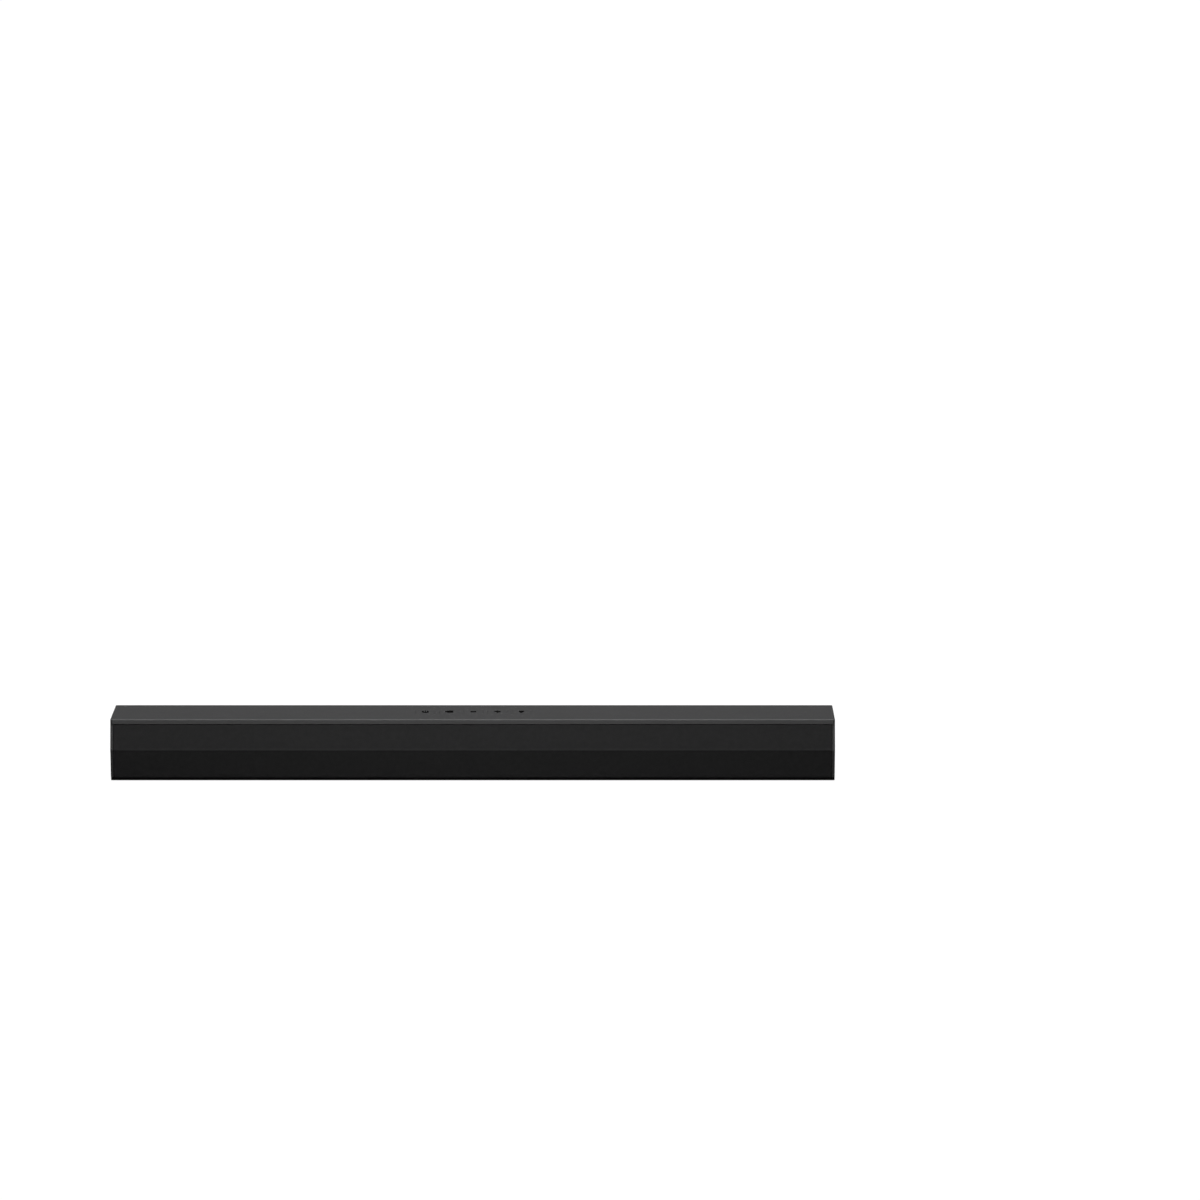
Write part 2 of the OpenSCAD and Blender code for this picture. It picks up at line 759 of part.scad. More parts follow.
module optical_port() {
    low = board_top_z + optical_sill;
    color(black) difference() {
        socket_body(optical_x, 2 * optical_half_w, optical_h, optical_depth);
        span([optical_x - optical_cavity[0] / 2, socket_y - optical_cavity[1], low],
            [optical_x + optical_cavity[0] / 2, socket_y + 1, low + optical_cavity[2]]);
        translate([optical_x - optical_half_w + 0.2, hinge_y, hinge_z]) rotate([0, 90, 0])
            cylinder(r = hinge_r + hinge_fit, h = 2 * optical_half_w - 0.4);
    }
}

// Sprung flap that closes the optical socket, on a pin along its top edge
module optical_shutter() {
    half = optical_cavity[0] / 2 - 0.2;
    flap_t = 0.7;
    color([0.12, 0.12, 0.13]) union() {
        span([optical_x - half, hinge_y - flap_t / 2, board_top_z + optical_sill + 0.3],
            [optical_x + half, hinge_y + flap_t / 2, hinge_z]);
        translate([optical_x - optical_half_w + 0.3, hinge_y, hinge_z]) rotate([0, 90, 0])
            cylinder(r = hinge_r, h = 2 * optical_half_w - 0.6);
    }
}

module status_board() {
    x = 60;
    color(board_green) union() {
        span([x - 16, baffle_y - 0.8, mid_z - 16], [x + 16, baffle_y, mid_z - 8]);
        for (i = [0:3]) span([x - 13 + i * 5, baffle_y - 1.6, mid_z - 13],
            [x - 11 + i * 5, baffle_y - 0.8 + eps, mid_z - 11]);
        span([x + 7, baffle_y - 3, mid_z - 15], [x + 13, baffle_y - 0.8 + eps, mid_z - 9]);
    }
}

// ---- Drivers ----

module basket(side) {
    color([0.30, 0.31, 0.32]) at_driver(side) difference() {
        turned([
            [roll_outer_r + 0.3, 0], [driver_r, 0], [driver_r, flange_t],
            [roll_outer_r + 0.3 + basket_t, flange_t], [shelf_r + basket_t, spider_u + spider_t / 2],
            [shelf_r + basket_t, basket_back_u], [winding_r + 0.7, basket_back_u],
            [winding_r + 0.7, basket_back_u - basket_t], [spider_r + 0.2, basket_back_u - basket_t],
            [spider_r + 0.2, spider_u + spider_t / 2], [shelf_r, spider_u + spider_t / 2],
            [roll_outer_r + 0.3, flange_t]
        ]);
        for (a = [0, 90]) rotate([0, a, 0])
            span([-30, flange_t + 1.5, -7], [30, spider_u - 1, 7]);
        at_flange_screws() rotate([-90, 0, 0]) translate([0, 0, -1])
            cylinder(r = driver_screw_r + thread_clearance, h = flange_t + 2);
    }
}

// How far the roll has fallen back, from its outer foot at 0 degrees to its inner foot at 180
function roll_fall(a) = cone_lip_u * (1 - cos(a)) / 2;

// Half roll that sinks back between the basket and the cone, with a glued foot at each edge
module surround(side) {
    inner_r = roll_r - rubber_t;
    color([0.07, 0.07, 0.07]) at_driver(side) turned(concat(
        [[roll_outer_r + roll_foot, -rubber_t], [roll_outer_r + roll_foot, 0]],
        [for (a = [0:22.5:180]) [roll_mid_r + roll_r * cos(a), roll_r * sin(a) + roll_fall(a)]],
        [[cone_r - foot_ring, cone_lip_u], [cone_r - foot_ring, cone_lip_u - rubber_t]],
        [for (a = [180:-22.5:0]) [roll_mid_r + inner_r * cos(a), inner_r * sin(a) + roll_fall(a) - rubber_t]]
    ));
}

module cone(side) {
    color([0.12, 0.12, 0.125]) at_driver(side) turned([
        [cone_r - eps, cone_lip_u], [cone_r - eps, cone_lip_u + paper_t],
        [cone_r - foot_ring, cone_lip_u + paper_t], [former_r, neck_u + paper_t],
        [former_r, neck_u], [cone_r - foot_ring, cone_lip_u]
    ]);
}

// Depth of the cone's face at a radius
function cone_u(r) =
    cone_lip_u + (neck_u - cone_lip_u) * (cone_r - foot_ring - r) / (cone_r - foot_ring - former_r);

module dust_cap(side) {
    ball_r = (cap_r * cap_r + cap_rise * cap_rise) / (2 * cap_rise);
    foot_u = cone_u(cap_r) - 0.12;
    sweep = asin(cap_r / ball_r);
    color([0.10, 0.10, 0.105]) at_driver(side) turned(concat(
        [for (k = [0:8])
            let (a = sweep * k / 8) [ball_r * sin(a), foot_u - cap_rise + ball_r * (1 - cos(a))]],
        [for (k = [8:-1:0])
            let (a = sweep * k / 8, r = ball_r - rubber_t)
                [r * sin(a), foot_u - cap_rise + rubber_t + r * (1 - cos(a))]]
    ));
}

module voice_coil(side) {
    color([0.72, 0.45, 0.2]) at_driver(side) turned([
        [coil_r, former_front_u], [former_r, former_front_u], [former_r, winding_u[0]],
        [winding_r, winding_u[0]], [winding_r, winding_u[1]], [former_r, winding_u[1]],
        [former_r, former_back_u], [coil_r, former_back_u]
    ]);
}

// Corrugated disc that centres the voice coil; its inner foot stands forward of its outer one
module spider(side) {
    waves = 2.5;
    steps = 20;
    inner = former_r + foot_ring;
    function rib(k, lift) = [
        inner + (spider_r - inner) * k / steps,
        spider_u - spider_step * (1 - k / steps) - spider_wave * sin(360 * waves * k / steps) + lift
    ];
    half = spider_t / 2;
    color([0.75, 0.62, 0.35]) at_driver(side) turned(concat(
        [[former_r, spider_u - spider_step - half]],
        [for (k = [0:steps]) rib(k, -half)],
        [[shelf_r - 0.1, spider_u - half], [shelf_r - 0.1, spider_u + half]],
        [for (k = [steps:-1:0]) rib(k, half)],
        [[former_r, spider_u - spider_step + half]]
    ));
}

module top_plate(side) {
    color(steel) at_driver(side)
        turned_ring(winding_r + coil_gap, magnet_r - 1.5, basket_back_u, magnet_u);
}

module magnet(side) {
    color([0.16, 0.16, 0.17]) at_driver(side) turned_ring(winding_r + 1.5, magnet_r, magnet_u, yoke_u);
}

module yoke(side) {
    color(steel) at_driver(side) turned([
        [0, basket_back_u], [coil_r - coil_gap, basket_back_u], [coil_r - coil_gap, yoke_u],
        [magnet_r - 1, yoke_u], [magnet_r - 1, yoke_u + plate_t], [0, yoke_u + plate_t]
    ]);
}

module left_basket() { basket(-1); }
module left_surround() { surround(-1); }
module left_spider() { spider(-1); }
module left_cone() { cone(-1); }
module left_dust_cap() { dust_cap(-1); }
module left_voice_coil() { voice_coil(-1); }
module left_top_plate() { top_plate(-1); }
module left_magnet() { magnet(-1); }
module left_yoke() { yoke(-1); }
module right_basket() { basket(1); }
module right_surround() { surround(1); }
module right_spider() { spider(1); }
module right_cone() { cone(1); }
module right_dust_cap() { dust_cap(1); }
module right_voice_coil() { voice_coil(1); }
module right_top_plate() { top_plate(1); }
module right_magnet() { magnet(1); }
module right_yoke() { yoke(1); }

module driver_gaskets() {
    color(black) for (side = [-1, 1]) at_driver(side) difference() {
        turned_ring(basket_hole_r, driver_r, flange_t, flange_t + gasket_t);
        at_flange_screws() rotate([-90, 0, 0]) cylinder(r = driver_screw_r + thread_clearance, h = 10);
    }
}

module damping_pads() {
    color([0.8, 0.8, 0.78]) for (side = [-1, 1])
        translate([side * (driver_x - magnet_r - 6 - pad_size[0] / 2), 4, floor_z])
            linear_extrude(height = pad_size[2]) polygon(rounded_rect(pad_size[0], pad_size[1], 5));
}

module speaker_wires() {
    color([0.5, 0.08, 0.08]) for (side = [-1, 1]) {
        start_x = side < 0 ? 0 : 14;
        tube([
            [start_x, header_y, board_top_z + 2], [start_x, header_y, board_top_z + 9],
            [start_x + side * 4, header_y - 4, board_top_z + 12],
            [start_x + side * 20, -27, board_top_z + 12],
            [side * 60, -27, 20], [side * 84, -24, wire_z + 3], [side * 92, wire_y + 3, wire_z],
            [side * 108, wire_y + 3, wire_z], [side * 118, wire_y, wire_z],
            [side * (half_w - partition_inset - 20), wire_y, wire_z],
            [side * (half_w - partition_inset + 6), wire_y, wire_z],
            [side * (driver_x - 46), wire_y + 1, wire_z], [side * (driver_x - 30), wire_y - 6, wire_z + 4],
            [side * (driver_x - 21), wire_y - 7, driver_z - 10],
            [side * (driver_x - 18), wire_y - 6, driver_z - 3]
        ], wire_r);
    }
}

top_cover();
cabinet();
front_baffle();
grille_frame();
grille_cloth();
jack_panel();
rubber_feet();
bracket_inserts();
case_screws();
driver_screws();
board_screws();
key_board_screws();
power_key();
source_key();
volume_down_key();
volume_up_key();
pairing_key();
power_dome();
source_dome();
volume_down_dome();
volume_up_dome();
pairing_dome();
key_board();
key_ribbon();
main_board();
processor();
amplifier_chip();
heat_sink();
capacitors();
inductors();
wireless_module();
board_headers();
dc_jack();
hdmi_port();
optical_port();
optical_shutter();
usb_port();
audio_jack();
status_board();
left_basket();
left_surround();
left_spider();
left_cone();
left_dust_cap();
left_voice_coil();
left_top_plate();
left_magnet();
left_yoke();
right_basket();
right_surround();
right_spider();
right_cone();
right_dust_cap();
right_voice_coil();
right_top_plate();
right_magnet();
right_yoke();
driver_gaskets();
damping_pads();
speaker_wires();
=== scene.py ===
"""Soundbar: the visual model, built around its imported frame.

Every size is in metres, in the frame's own axes: X along the bar, -Y towards the listener, Z up.
Each sub-assembly is a class that builds its meshes and dresses them; each finish is a frozen dataclass.
"""

from __future__ import annotations

import json
import logging
import math
from contextlib import contextmanager
from dataclasses import dataclass, replace
from enum import Enum
from typing import Callable, Iterator, Sequence

import bmesh
import bpy
from mathutils import Matrix, Vector

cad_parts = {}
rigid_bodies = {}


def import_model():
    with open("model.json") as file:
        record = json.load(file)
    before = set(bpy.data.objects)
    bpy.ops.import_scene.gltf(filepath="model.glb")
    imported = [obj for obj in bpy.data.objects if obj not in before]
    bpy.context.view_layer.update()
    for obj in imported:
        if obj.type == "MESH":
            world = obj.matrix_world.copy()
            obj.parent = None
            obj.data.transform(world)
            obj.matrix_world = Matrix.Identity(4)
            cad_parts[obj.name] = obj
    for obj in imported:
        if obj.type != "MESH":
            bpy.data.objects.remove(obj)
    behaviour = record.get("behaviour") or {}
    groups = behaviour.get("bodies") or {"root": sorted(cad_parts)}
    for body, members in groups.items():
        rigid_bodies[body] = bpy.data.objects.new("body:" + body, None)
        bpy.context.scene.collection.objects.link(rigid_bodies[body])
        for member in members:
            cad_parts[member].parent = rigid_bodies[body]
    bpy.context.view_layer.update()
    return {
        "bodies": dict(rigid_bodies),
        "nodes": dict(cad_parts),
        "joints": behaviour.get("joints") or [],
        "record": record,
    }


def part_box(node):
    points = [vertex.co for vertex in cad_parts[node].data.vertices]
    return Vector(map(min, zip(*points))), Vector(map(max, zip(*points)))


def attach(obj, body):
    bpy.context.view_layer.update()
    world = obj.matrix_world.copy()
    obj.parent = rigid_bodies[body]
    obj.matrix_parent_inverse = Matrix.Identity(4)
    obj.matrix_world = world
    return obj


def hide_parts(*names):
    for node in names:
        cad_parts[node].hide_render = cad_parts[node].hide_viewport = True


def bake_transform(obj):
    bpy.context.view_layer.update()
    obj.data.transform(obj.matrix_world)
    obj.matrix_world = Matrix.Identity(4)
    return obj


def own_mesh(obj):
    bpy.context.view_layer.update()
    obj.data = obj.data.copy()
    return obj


LOG = logging.getLogger("soundbar")
MM = 0.001
MERGE = 0.005 * MM
FLAT_ANGLE = math.radians(0.4)
HOUSING = "housing"
KEY_NAMES = ("power", "source", "volume_down", "volume_up", "pairing")
SIDES = ("left", "right")
SHEEN_ROUGHNESS = 0.6
COAT_ROUGHNESS = 0.15

Colour = tuple[float, float, float]
Box = tuple[Vector, Vector]
Socketable = "Signal | float"  # what a Math node's socket takes


# ---------------------------------------------------------------- shaders


@dataclass
class Signal:
    """A number carried by a shader socket, on which Python arithmetic builds Math nodes.

    Args:
        sheet: the tree that it belongs to.
        socket: the output that carries it.
    """

    sheet: "ShaderSheet"
    socket: bpy.types.NodeSocket

    def maths(self, operation: str, *others: Socketable, clamp: bool = False, swap: bool = False) -> "Signal":
        """Adds one Math node.

        Args:
            operation: the node's operation.
            others: the further operands.
            clamp: whether the result is held between 0 and 1.
            swap: whether the first two operands change places.

        Returns:
            The node's result.
        """
        values: list[Socketable] = [self, *others]
        if swap:
            values[0], values[1] = values[1], values[0]
        settings = {"operation": operation, "use_clamp": clamp}
        node = self.sheet.node("ShaderNodeMath", settings, dict(enumerate(values)))
        return Signal(self.sheet, node.outputs[0])

    def __add__(self, other: Socketable) -> "Signal":
        """Sum."""
        return self.maths("ADD", other)

    def __radd__(self, other: Socketable) -> "Signal":
        """Sum, reflected."""
        return self.maths("ADD", other)

    def __sub__(self, other: Socketable) -> "Signal":
        """Difference."""
        return self.maths("SUBTRACT", other)

    def __rsub__(self, other: Socketable) -> "Signal":
        """Difference, reflected."""
        return self.maths("SUBTRACT", other, swap=True)

    def __mul__(self, other: Socketable) -> "Signal":
        """Product."""
        return self.maths("MULTIPLY", other)

    def __rmul__(self, other: Socketable) -> "Signal":
        """Product, reflected."""
        return self.maths("MULTIPLY", other)

    def sine(self) -> "Signal":
        """Sine, in radians."""
        return self.maths("SINE")

    def size(self) -> "Signal":
        """Absolute value."""
        return self.maths("ABSOLUTE")

    def above(self, limit: Socketable) -> "Signal":
        """1 where the signal is above the limit, else 0."""
        return self.maths("GREATER_THAN", limit)

    def larger(self, other: Socketable) -> "Signal":
        """The larger of the two."""
        return self.maths("MAXIMUM", other)

    def power(self, exponent: float) -> "Signal":
        """The signal raised to a power."""
        return self.maths("POWER", exponent)

    def held(self) -> "Signal":
        """The signal held between 0 and 1."""
        return self.maths("ADD", 0.0, clamp=True)


class ShaderSheet:
    """The node tree of one material, or of the surround."""

    def __init__(self, owner: bpy.types.Material | bpy.types.World) -> None:
        """Starts an empty tree.

        Args:
            owner: the material or world that it belongs to.
        """
        self.owner = owner
        self.owner.use_nodes = True
        self.tree = self.owner.node_tree
        self.tree.nodes.clear()

    def node(self, kind: str, settings: dict[str, object], inputs: dict[str | int, object]) -> bpy.types.Node:
        """Adds one node.

        Args:
            kind: the node's type.
            settings: its properties, set before its sockets.
            inputs: its sockets by name or number, each a value, a Signal or a socket.

        Returns:
            The node.
        """
        made = self.tree.nodes.new(kind)
        for key, value in settings.items():
            setattr(made, key, value)
        for key, value in inputs.items():
            socket = made.inputs[key]
            if isinstance(value, Signal):
                self.tree.links.new(value.socket, socket)
            elif isinstance(value, bpy.types.NodeSocket):
                self.tree.links.new(value, socket)
            else:
                socket.default_value = value
        return made

    def place(self, stretch: Sequence[float] = (1.0, 1.0, 1.0)) -> bpy.types.NodeSocket:
        """Object coordinates in metres, each axis multiplied.

        Args:
            stretch: one factor for each axis.

        Returns:
            The vector socket.
        """
        source = self.node("ShaderNodeTexCoord", {}, {}).outputs["Object"]
        return self.node("ShaderNodeMapping", {}, {"Vector": source, "Scale": stretch}).outputs[0]

    def axes(self, vector: bpy.types.NodeSocket) -> list[Signal]:
        """Splits a vector into its three numbers."""
        parts = self.node("ShaderNodeSeparateXYZ", {}, {0: vector})
        return [Signal(self, output) for output in parts.outputs]

    def noise(self, vector: bpy.types.NodeSocket, size: float, detail: float = 2.0) -> Signal:
        """Smooth noise from 0 to 1.

        Args:
            vector: where it is read.
            size: the size of its patches in metres.
            detail: how many finer layers it has.

        Returns:
            The noise.
        """
        inputs = {"Vector": vector, "Scale": 1 / size, "Detail": detail, "Roughness": 0.55}
        return Signal(self, self.node("ShaderNodeTexNoise", {}, inputs).outputs[0])

    def cells(self, vector: bpy.types.NodeSocket, size: float) -> Signal:
        """Distance to the nearest of many scattered points, for pores and spark texture."""
        inputs = {"Vector": vector, "Scale": 1 / size}
        return Signal(self, self.node("ShaderNodeTexVoronoi", {}, inputs).outputs["Distance"])

    def between(self, factor: Socketable, low: Colour, high: Colour) -> bpy.types.NodeSocket:
        """A colour between two, by a factor."""
        inputs = {0: factor, 6: (*low, 1.0), 7: (*high, 1.0)}
        return self.node("ShaderNodeMix", {"data_type": "RGBA"}, inputs).outputs[2]

    def bump(self, height: Signal, depth: float, strength: float = 1.0) -> bpy.types.NodeSocket:
        """A surface normal from a height.

        Args:
            height: from 0 to 1.
            depth: how deep 1 is, in metres.
            strength: how much of it shows.

        Returns:
            The normal socket.
        """
        inputs = {"Height": height, "Distance": depth, "Strength": strength}
        return self.node("ShaderNodeBump", {}, inputs).outputs[0]

    def close(self, shader: str, output: str, inputs: dict[str | int, object]) -> None:
        """Ends the tree with one shader and its output.

        Args:
            shader: the shader node's type.
            output: the output node's type.
            inputs: the shader's sockets.
        """
        made = self.node(shader, {}, inputs)
        self.node(output, {}, {"Surface": made.outputs[0]})


class Texture(Enum):
    """How a surface was made."""

    SPARK = "spark-eroded moulding"
    BRUSHED = "brushed or rolled metal"
    KNIT = "knitted cloth"
    CIRCUIT = "circuit board"
    PORES = "open foam or wadding"
    FIBRE = "pressed paper"


@dataclass(frozen=True)
class Finish:
    """One finish: what its surface is made of and how it was made.

    Args:
        name: the material's name.
        slot: the record's material slot; not used.
        colour: linear base colour.
        roughness: mean roughness.
        metallic: 1 for bare metal.
        specular: specular level; 0.5 is a common plastic.
        texture: how the surface was made.
        grain: size of the grain.
        depth: depth of the grain.
        mottle: how much lighter and darker the colour gets.
        mottle_size: size of those patches.
        sheen: weight of the soft fringe on cloth.
        coat: weight of a clear coat.
        see_through: transmission weight.
        glow: strength of white light given off.
        crease: height of the line where a cloth is drawn over a ridge.
    """

    name: str
    slot: str
    colour: Colour
    roughness: float = 0.5
    metallic: float = 0.0
    specular: float = 0.5
    texture: Texture = Texture.SPARK
    grain: float = 0.5 * MM
    depth: float = 0.01 * MM
    mottle: float = 0.06
    mottle_size: float = 14 * MM
    sheen: float = 0.0
    coat: float = 0.0
    see_through: float = 0.0
    glow: float = 0.0
    crease: float = 0.0

    def material(self) -> bpy.types.Material:
        """The material, built the first time it is asked for.

        Returns:
            The material.
        """
        found = bpy.data.materials.get(self.name)
        if found is not None:
            return found
        made = bpy.data.materials.new(self.name)
        sheet = ShaderSheet(made)
        colour, height, roughness = RECIPES[self.texture](sheet, self)
        inputs = {
            "Base Color": colour,
            "Roughness": roughness,
            "Normal": sheet.bump(height, self.depth),
            "Metallic": self.metallic,
            "Specular IOR Level": self.specular,
            "Sheen Weight": self.sheen,
            "Sheen Roughness": SHEEN_ROUGHNESS,
            "Coat Weight": self.coat,
            "Coat Roughness": COAT_ROUGHNESS,
            "Transmission Weight": self.see_through,
            "Emission Color": (1.0, 1.0, 1.0, 1.0),
            "Emission Strength": self.glow,
        }
        sheet.close("ShaderNodeBsdfPrincipled", "ShaderNodeOutputMaterial", inputs)
        return made

    def shade(self, amount: float) -> Colour:
        """The base colour made lighter or darker.

        Args:
            amount: 0 leaves it, 0.1 makes it a tenth lighter.

        Returns:
            The colour.
        """
        red, green, blue = (channel * (1 + amount) for channel in self.colour)
        return red, green, blue

    def dress(self, piece: bpy.types.Object) -> bpy.types.Object:
        """Gives the finish to a piece, in every material slot it has.

        Args:
            piece: a new piece or a frame node.

        Returns:
            The piece.
        """
        material = self.material()
        if not piece.material_slots:
            piece.data.materials.append(material)
        for slot in piece.material_slots:
            slot.material = material
        return piece

    def dress_faces(self, piece: bpy.types.Object, test: Callable[[bpy.types.MeshPolygon], bool]) -> None:
        """Gives the finish to some faces of a piece that is dressed already.

        Args:
            piece: the piece.
            test: called with each face.
        """
        piece.data.materials.append(self.material())
        added = len(piece.data.materials) - 1
        for face in piece.data.polygons:
            if test(face):
                face.material_index = added


Look = tuple[bpy.types.NodeSocket, Signal, Signal]


def spark_look(sheet: ShaderSheet, finish: Finish) -> Look:
    """Moulded plastic or rubber: fine pits, faint clouding, and roughness that follows both.

    Args:
        sheet: the material's tree.
        finish: the finish.

    Returns:
        Colour, height and roughness.
    """
    place = sheet.place()
    cloud = sheet.noise(place, finish.mottle_size, 3)
    pits = sheet.cells(place, finish.grain) * 0.6 + sheet.noise(place, finish.grain * 0.6, 3) * 0.5
    colour = sheet.between(cloud, finish.shade(-finish.mottle), finish.shade(finish.mottle))
    return colour, pits, (finish.roughness - 0.06) + cloud * 0.08 + pits * 0.05


def brushed_look(sheet: ShaderSheet, finish: Finish) -> Look:
    """Metal with fine lines along X, and stains that change its gloss.

    Args:
        sheet: the material's tree.
        finish: the finish.

    Returns:
        Colour, height and roughness.
    """
    lines = sheet.noise(sheet.place((0.04, 1.0, 1.0)), finish.grain * 0.5, 4)
    stains = sheet.noise(sheet.place(), finish.mottle_size, 3)
    mixed = lines * 0.5 + stains * 0.5
    colour = sheet.between(mixed, finish.shade(-finish.mottle), finish.shade(finish.mottle))
    return colour, lines, (finish.roughness - 0.08) + lines * 0.12 + stains * 0.1


def stripe(rise: Signal, middle: float, reach: float) -> Signal:
    """A soft stripe: 1 at its middle, falling to 0 at its reach.

    Args:
        rise: the height across the stripe.
        middle: the height of its middle.
        reach: how far it spreads to either side.

    Returns:
        The stripe.
    """
    return (1 - (rise - middle).size() * (1 / reach)).held()


def knit_look(sheet: ShaderSheet, finish: Finish) -> Look:
    """Stretched acoustic cloth: threads over and under each other, on the piece's own map in metres.

    Along the crease it has a painted highlight just above and painted shade just below, and the hollows
    between the threads carry painted shade.

    Args:
        sheet: the material's tree.
        finish: the finish.

    Returns:
        Colour, height and roughness.
    """
    mapped = sheet.node("ShaderNodeUVMap", {"uv_map": "cloth"}, {}).outputs[0]
    wobble = sheet.noise(mapped, 9 * MM, 2) * 0.5
    across, along, _ = sheet.axes(mapped)
    turn = math.pi / finish.grain
    warp = (across * turn + wobble).sine()
    weft = (along * turn + wobble).sine()
    over = (warp * weft).above(0.0)
    crown = over * warp.size().power(0.6) + (1 - over) * weft.size().power(0.6)
    fuzz = sheet.noise(mapped, finish.grain * 0.35, 3)
    height = crown * 0.8 + fuzz * 0.2
    slub = sheet.noise(mapped, finish.mottle_size, 3)
    rise = sheet.axes(sheet.place())[2] - finish.crease
    # pale is a painted highlight above the crease; deep is painted shade below it.
    pale = stripe(rise, 0.9 * MM, 1.3 * MM)
    deep = stripe(rise, -1.1 * MM, 1.2 * MM)
    # Paler thread crowns and darker hollows between them are painted shade.
    tone = (crown * 0.55 + fuzz * 0.2 + slub * 0.35 + pale * 0.25 - deep * 0.2).held()
    colour = sheet.between(tone, finish.shade(-finish.mottle), finish.shade(finish.mottle))
    return colour, height, finish.roughness + 0.06 * (1 - crown)


def circuit_look(sheet: ShaderSheet, finish: Finish) -> Look:
    """Solder mask over copper tracks: straight lines, a little lighter and proud.

    Args:
        sheet: the material's tree.
        finish: the finish.

    Returns:
        Colour, height and roughness.
    """
    place = sheet.place()
    across, along, _ = sheet.axes(place)
    bend = (sheet.noise(place, 9 * MM, 0) * 14).maths("ROUND") * 1.1
    tracks = ((along * (math.pi / finish.grain) + bend).sine()).above(0.55)
    crossing = ((across * (math.pi / (finish.grain * 2.6)) + bend).sine()).above(0.9)
    copper = tracks.larger(crossing) * sheet.noise(place, finish.mottle_size, 0).above(0.46)
    colour = sheet.between(copper, finish.shade(-finish.mottle), finish.shade(0.7))
    return colour, copper, finish.roughness + copper * 0.08


def pores_look(sheet: ShaderSheet, finish: Finish) -> Look:
    """Foam or wadding: open cells, with painted shade in their depths.

    Args:
        sheet: the material's tree.
        finish: the finish.

    Returns:
        Colour, height and roughness.
    """
    place = sheet.place()
    cells = sheet.cells(place, finish.grain).held()
    fluff = sheet.noise(place, finish.mottle_size, 4)
    # The cells' depths are darkened: painted shade.
    tone = (cells * 0.6 + fluff * 0.5).held()
    colour = sheet.between(tone, finish.shade(-3 * finish.mottle), finish.shade(finish.mottle))
    return colour, tone, finish.roughness + cells * 0.05


def fibre_look(sheet: ShaderSheet, finish: Finish) -> Look:
    """Pressed paper: short fibres and a slight clouding.

    Args:
        sheet: the material's tree.
        finish: the finish.

    Returns:
        Colour, height and roughness.
    """
    long_way = sheet.noise(sheet.place((0.25, 1.0, 1.0)), finish.grain, 4)
    short_way = sheet.noise(sheet.place((1.0, 1.0, 0.25)), finish.grain, 4)
    fibres = long_way.larger(short_way)
    colour = sheet.between(fibres, finish.shade(-2 * finish.mottle), finish.shade(2 * finish.mottle))
    return colour, fibres, finish.roughness + fibres * 0.08


RECIPES: dict[Texture, Callable[[ShaderSheet, Finish], Look]] = {
    Texture.SPARK: spark_look,
    Texture.BRUSHED: brushed_look,
    Texture.KNIT: knit_look,
    Texture.CIRCUIT: circuit_look,
    Texture.PORES: pores_look,
    Texture.FIBRE: fibre_look,
}

COVER = Finish("satin_cover", "cover_plastic", (0.038, 0.038, 0.0385), 0.45, specular=0.25, coat=0.1,
               mottle=0.03, mottle_size=30 * MM, grain=0.45 * MM, depth=0.008 * MM)
KEYCAP = replace(COVER, name="satin_key", slot="key_plastic")
# Lighter copy of the cover finish for the rounded front top edge: a painted highlight.
EDGE_HIGHLIGHT = replace(COVER, name="painted_edge_highlight", colour=(0.088, 0.088, 0.089), mottle=0.08,
                    mottle_size=9 * MM)
INK = Finish("raised_mark", "key_plastic", (0.004, 0.004, 0.004), 0.9, specular=0.03, mottle=0.1,
             grain=0.3 * MM)
PALE_INK = Finish("pale_ink", "frame_plastic", (0.42, 0.42, 0.42), 0.55, mottle=0.08, grain=0.3 * MM)
CLOTH = Finish("knit_cloth", "cloth", (0.0213, 0.0213, 0.0216), 0.92, specular=0.01, texture=Texture.KNIT,
               grain=0.8 * MM, depth=0.12 * MM, mottle=0.45, mottle_size=5 * MM, sheen=0.01, crease=32.5 * MM)
CABINET = Finish("satin_cabinet", "cabinet_plastic", (0.038, 0.038, 0.0385), 0.48, specular=0.2, mottle=0.05,
                 grain=0.6 * MM, depth=0.012 * MM)
FRAME = Finish("moulded_frame", "frame_plastic", (0.008, 0.008, 0.008), 0.62, specular=0.3, mottle=0.1,
               depth=0.02 * MM)
# Darker, matt finish for the base below the cloth: painted shade under the grille.
SHADED_BASE = replace(FRAME, name="base_painted_shade", colour=(0.020, 0.020, 0.020), specular=0.03, roughness=0.8)
RUBBER = Finish("foot_rubber", "foot_rubber", (0.010, 0.010, 0.010), 0.82, specular=0.25, mottle=0.15,
                grain=0.9 * MM, depth=0.05 * MM)
BRASS = Finish("turned_brass", "brass", (0.62, 0.42, 0.16), 0.32, 1.0, texture=Texture.BRUSHED, mottle=0.1)
SCREW = Finish("zinc_screw", "screw_steel", (0.42, 0.42, 0.43), 0.38, 1.0, texture=Texture.BRUSHED,
               mottle=0.12)
PLATE = Finish("zinc_plate", "plate_steel", (0.56, 0.57, 0.58), 0.35, 1.0, texture=Texture.BRUSHED,
               mottle=0.12)
NICKEL = Finish("nickel_shell", "socket_steel", (0.60, 0.60, 0.60), 0.28, 1.0, texture=Texture.BRUSHED,
                mottle=0.08, grain=0.3 * MM, depth=0.003 * MM)
GOLD = Finish("gold_contact", "socket_steel", (0.78, 0.56, 0.22), 0.25, 1.0, texture=Texture.BRUSHED,
              mottle=0.08, grain=0.2 * MM, depth=0.002 * MM)
SOCKET = Finish("socket_moulding", "socket_plastic", (0.009, 0.009, 0.0095), 0.48, mottle=0.1, grain=0.3 * MM)
BOARD = Finish("solder_mask", "board", (0.012, 0.075, 0.035), 0.35, texture=Texture.CIRCUIT,
               grain=0.5 * MM, depth=0.03 * MM, mottle=0.15, mottle_size=7 * MM, coat=0.3)
